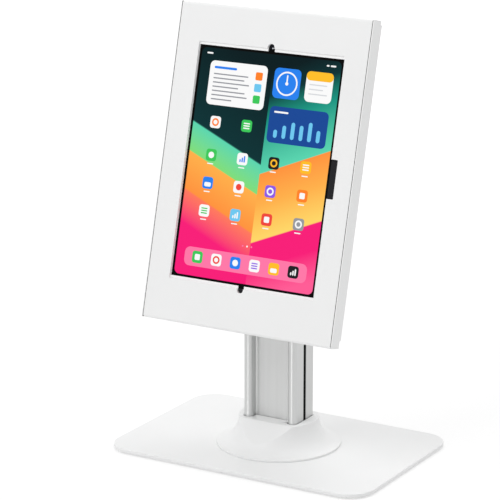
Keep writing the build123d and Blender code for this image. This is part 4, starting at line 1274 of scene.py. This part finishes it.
text_lines(MEMO_CARD, 4, 13, lengths=(20, 16, 21), pitch=4.6, thick=1.2, tint=MIST)
card(CHART_CARD, DEEP_BLUE)
text_lines(CHART_CARD, 5, 5.5, lengths=(16,), pitch=4, thick=1.8, tint=PAPER)
for step, tall in enumerate(CHART_HEIGHTS):
    bar(CHART_CARD[0] + 9 + 9.6 * step, CHART_CARD[2] + 5 + tall / 2, 4.2, tall, 2, AQUA)

home_apps = [
    (GRASS, PAPER, "dot"), (PAPER, SKY_BLUE, "steps"), (INK, SUN, "ring"), (SUN, PAPER, "bars"),
    (SKY_BLUE, PAPER, "half"), (PAPER, POPPY, "dot"), (VIOLET, PAPER, "ring"), (CLAY, PAPER, "square"),
    (PAPER, GRASS, "bars"), (AQUA, PAPER, "steps"), (POPPY, PAPER, "square"), (SLATE, PAPER, "ring"),
]
for index, (ground, ink, kind) in enumerate(home_apps):
    x, y = COLUMN_PLACES[index % 4], ROW_PLACES[1 + index // 4]
    app(x, y, 1, ground, ink, kind)
    bar(x, y - LABEL_DROP, 7, 1.1, 1, PAPER)
app(COLUMN_PLACES[0], ROW_PLACES[0], 1, PAPER, CLAY, "ring")
app(COLUMN_PLACES[1], ROW_PLACES[0], 1, GRASS, PAPER, "bars")
for step in (-1, 0, 1):
    disc(5 * step, DOTS_HEIGHT, 0.9, 1, PAPER if step == 0 else PINK_GLASS)
film(0, DOCK_HEIGHT, 140, 19, 6, 1, PINK_GLASS)
dock_apps = [
    (GRASS, PAPER, "square"), (PAPER, POPPY, "ring"), (SKY_BLUE, PAPER, "dot"), (PAPER, VIOLET, "bars"),
    (SUN, PAPER, "half"), (INK, PAPER, "steps"),
]
for x, (ground, ink, kind) in zip(DOCK_PLACES, dock_apps):
    app(x, DOCK_HEIGHT, 2, ground, ink, kind)
for x, width in STATUS_BARS:
    bar(x, STATUS_HEIGHT, width, 1.6, 1, PAPER)
disc(0, LENS_HEIGHT, 2.0, 1, LENS)
# Painted glint: a lit pale dot on the lens stands for light reflected in it.
disc(0.5, LENS_HEIGHT - 0.6, 0.7, 2, MIST)
film_mesh = outward_mesh(films, "screen_tiles")
film_mesh.transform(head_place @ Matrix.Translation((0, WINDOW_RISE, 0)))

lit_film, film_tree, film_shader = new_finish("lit_film")
tints = wire(film_tree, "ShaderNodeAttribute", attribute_name="tint")
feed(film_tree, film_shader, Emission_Color=tints.outputs["Color"])
preset(
    film_shader, Emission_Strength=GLOW, Base_Color=BORDER_BLACK, Roughness=0.1,
    Specular_IOR_Level=GLASS_GLOSS,
)
tiles = show("screen_tiles", film_mesh, lit_film)
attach(tiles, "head")

# Front cover
# A steel cover with folded top and bottom edges, powder coated white, which swings down on two
# hidden studs. Its window has notches for the tablet's camera and for the side buttons.
COVER_EDGE = 0.22 * MM

# Its coat carries the painted seam shade on its side edges.
worked_copy(
    "front_cover", "cover_folding", COVER_EDGE, coat_with_painted_seam_shade("cover_coat"), "cover"
)
for node, name, body in (
    ("hinge_lugs", "hinge_ears", "cover"), ("lock_catch", "catch_hook", "cover"),
    ("hinge_pins", "hinge_studs", "head"),
):
    worked_copy(node, name, PLUG_EDGE, zinc, body)

# Cover liner
# A thin white plastic sheet behind the cover. It shows as a narrow frame inside the window and
# keeps the steel off the glass.
LINER_EDGE = 0.15 * MM
LINER_WHITE = (0.93, 0.93, 0.93, 1)

liner_white = grainy_finish(
    "liner_white", LINER_WHITE, roughness=0.38, grains=500.0, depth=0.01 * MM, cloud_tone=0.99
)
worked_copy("cover_liner", "liner_sheet", LINER_EDGE, liner_white, "cover")

# Floor and light
# A wide white floor under a white sky, four soft lamps, and the camera where the
# photograph was taken from.
FLOOR_SIDE = 12.0
FLOOR_COLOUR = (0.9, 0.9, 0.9, 1)
FLOOR_WHITE = 0.62
FLOOR_SHARE = 0.45
SHADE_REACH = 0.5
WHITE_REACH = 2.0
SKY_LIGHT = 0.63
SKY_SEEN = 1.0
CAMERA_AZIMUTH = math.radians(30.45)
CAMERA_ELEVATION = math.radians(15.35)
CAMERA_DISTANCE = 2.51671
CAMERA_AIM = Vector((-0.02715, -0.01265, 0.20978))
CAMERA_LENS = 178.77

half_floor = FLOOR_SIDE / 2
floor_mesh = bpy.data.meshes.new("floor")
floor_mesh.from_pydata(
    [(x * half_floor, y * half_floor, 0) for x, y in ((-1, -1), (1, -1), (1, 1), (-1, 1))],
    [], [(0, 1, 2, 3)],
)
floor_finish, floor_tree, floor_shader = new_finish("floor_white")
floor_tree.nodes.remove(floor_shader)
rays = wire(floor_tree, "ShaderNodeLightPath")
paint = wire(floor_tree, "ShaderNodeBsdfDiffuse", {"Color": FLOOR_COLOUR})
thin_paint = wire(floor_tree, "ShaderNodeBsdfDiffuse", {"Color": shaded(FLOOR_COLOUR, FLOOR_SHARE)})
floor_reach = wire(
    floor_tree, "ShaderNodeVectorMath", {0: object_place(floor_tree)}, operation="LENGTH"
)
whiteness = wire(floor_tree, "ShaderNodeMapRange", {
    "Value": floor_reach.outputs["Value"], "From Min": SHADE_REACH, "From Max": WHITE_REACH,
    "To Min": FLOOR_WHITE, "To Max": 1.0,
})
glow = wire(floor_tree, "ShaderNodeEmission", {"Strength": whiteness.outputs["Result"]})
seen_floor = wire(floor_tree, "ShaderNodeAddShader", {0: thin_paint.outputs[0], 1: glow.outputs[0]})
floor_mix = wire(floor_tree, "ShaderNodeMixShader", {
    0: rays.outputs["Is Camera Ray"], 1: paint.outputs[0], 2: seen_floor.outputs[0],
})
feed(floor_tree, floor_tree.nodes["Material Output"], Surface=floor_mix.outputs[0])
show("floor", floor_mesh, floor_finish)

world = bpy.data.worlds.new("white_studio")
bpy.context.scene.world = world
world.use_nodes = True
sky_tree = world.node_tree
sky_rays = wire(sky_tree, "ShaderNodeLightPath")
seen = sky_rays.outputs["Is Camera Ray"]
for kind in ("Is Glossy Ray", "Is Transmission Ray"):
    seen = maths(sky_tree, "MAXIMUM", seen, sky_rays.outputs[kind])
sky = sky_tree.nodes["Background"]
preset(sky, Color=(1, 1, 1, 1))
feed(sky_tree, sky, Strength=between(sky_tree, seen, SKY_LIGHT, SKY_SEEN))


def soft_lamp(name, place, width, height, watts, gloss_only=False):
    """Large soft lamp that points at the middle of the object."""
    lamp = bpy.data.lights.new(name, "AREA")
    lamp.shape = "RECTANGLE"
    lamp.size, lamp.size_y = width, height
    lamp.energy = watts
    holder = in_scene(name, lamp)
    holder.location = place
    aim = Vector((0, 0, (cad_low.z + cad_high.z) / 2))
    holder.rotation_euler = (aim - Vector(place)).to_track_quat("-Z", "Y").to_euler()
    holder.visible_diffuse = not gloss_only


soft_lamp("front_lamp", (-1.1, -2.15, 2.4), width=2.0, height=1.5, watts=33.0)
soft_lamp("back_lamp", (0.1, 0.9, 2.4), width=2.4, height=1.6, watts=20.0)
soft_lamp("rear_lamp", (1.6, 1.6, 1.0), width=0.8, height=1.2, watts=3.0)
soft_lamp("strip_lamp", (-0.1, -2.6, 0.45), width=0.10, height=0.9, watts=12.0, gloss_only=True)

camera_data = bpy.data.cameras.new("photo_camera")
camera_data.lens = CAMERA_LENS
camera = in_scene("photo_camera", camera_data)
away = Vector((
    math.sin(CAMERA_AZIMUTH) * math.cos(CAMERA_ELEVATION),
    -math.cos(CAMERA_AZIMUTH) * math.cos(CAMERA_ELEVATION), math.sin(CAMERA_ELEVATION),
))
camera.location = CAMERA_AIM + away * CAMERA_DISTANCE
camera.rotation_euler = (-away).to_track_quat("-Z", "Y").to_euler()
bpy.context.scene.camera = camera
bpy.context.scene.view_settings.view_transform = "Standard"
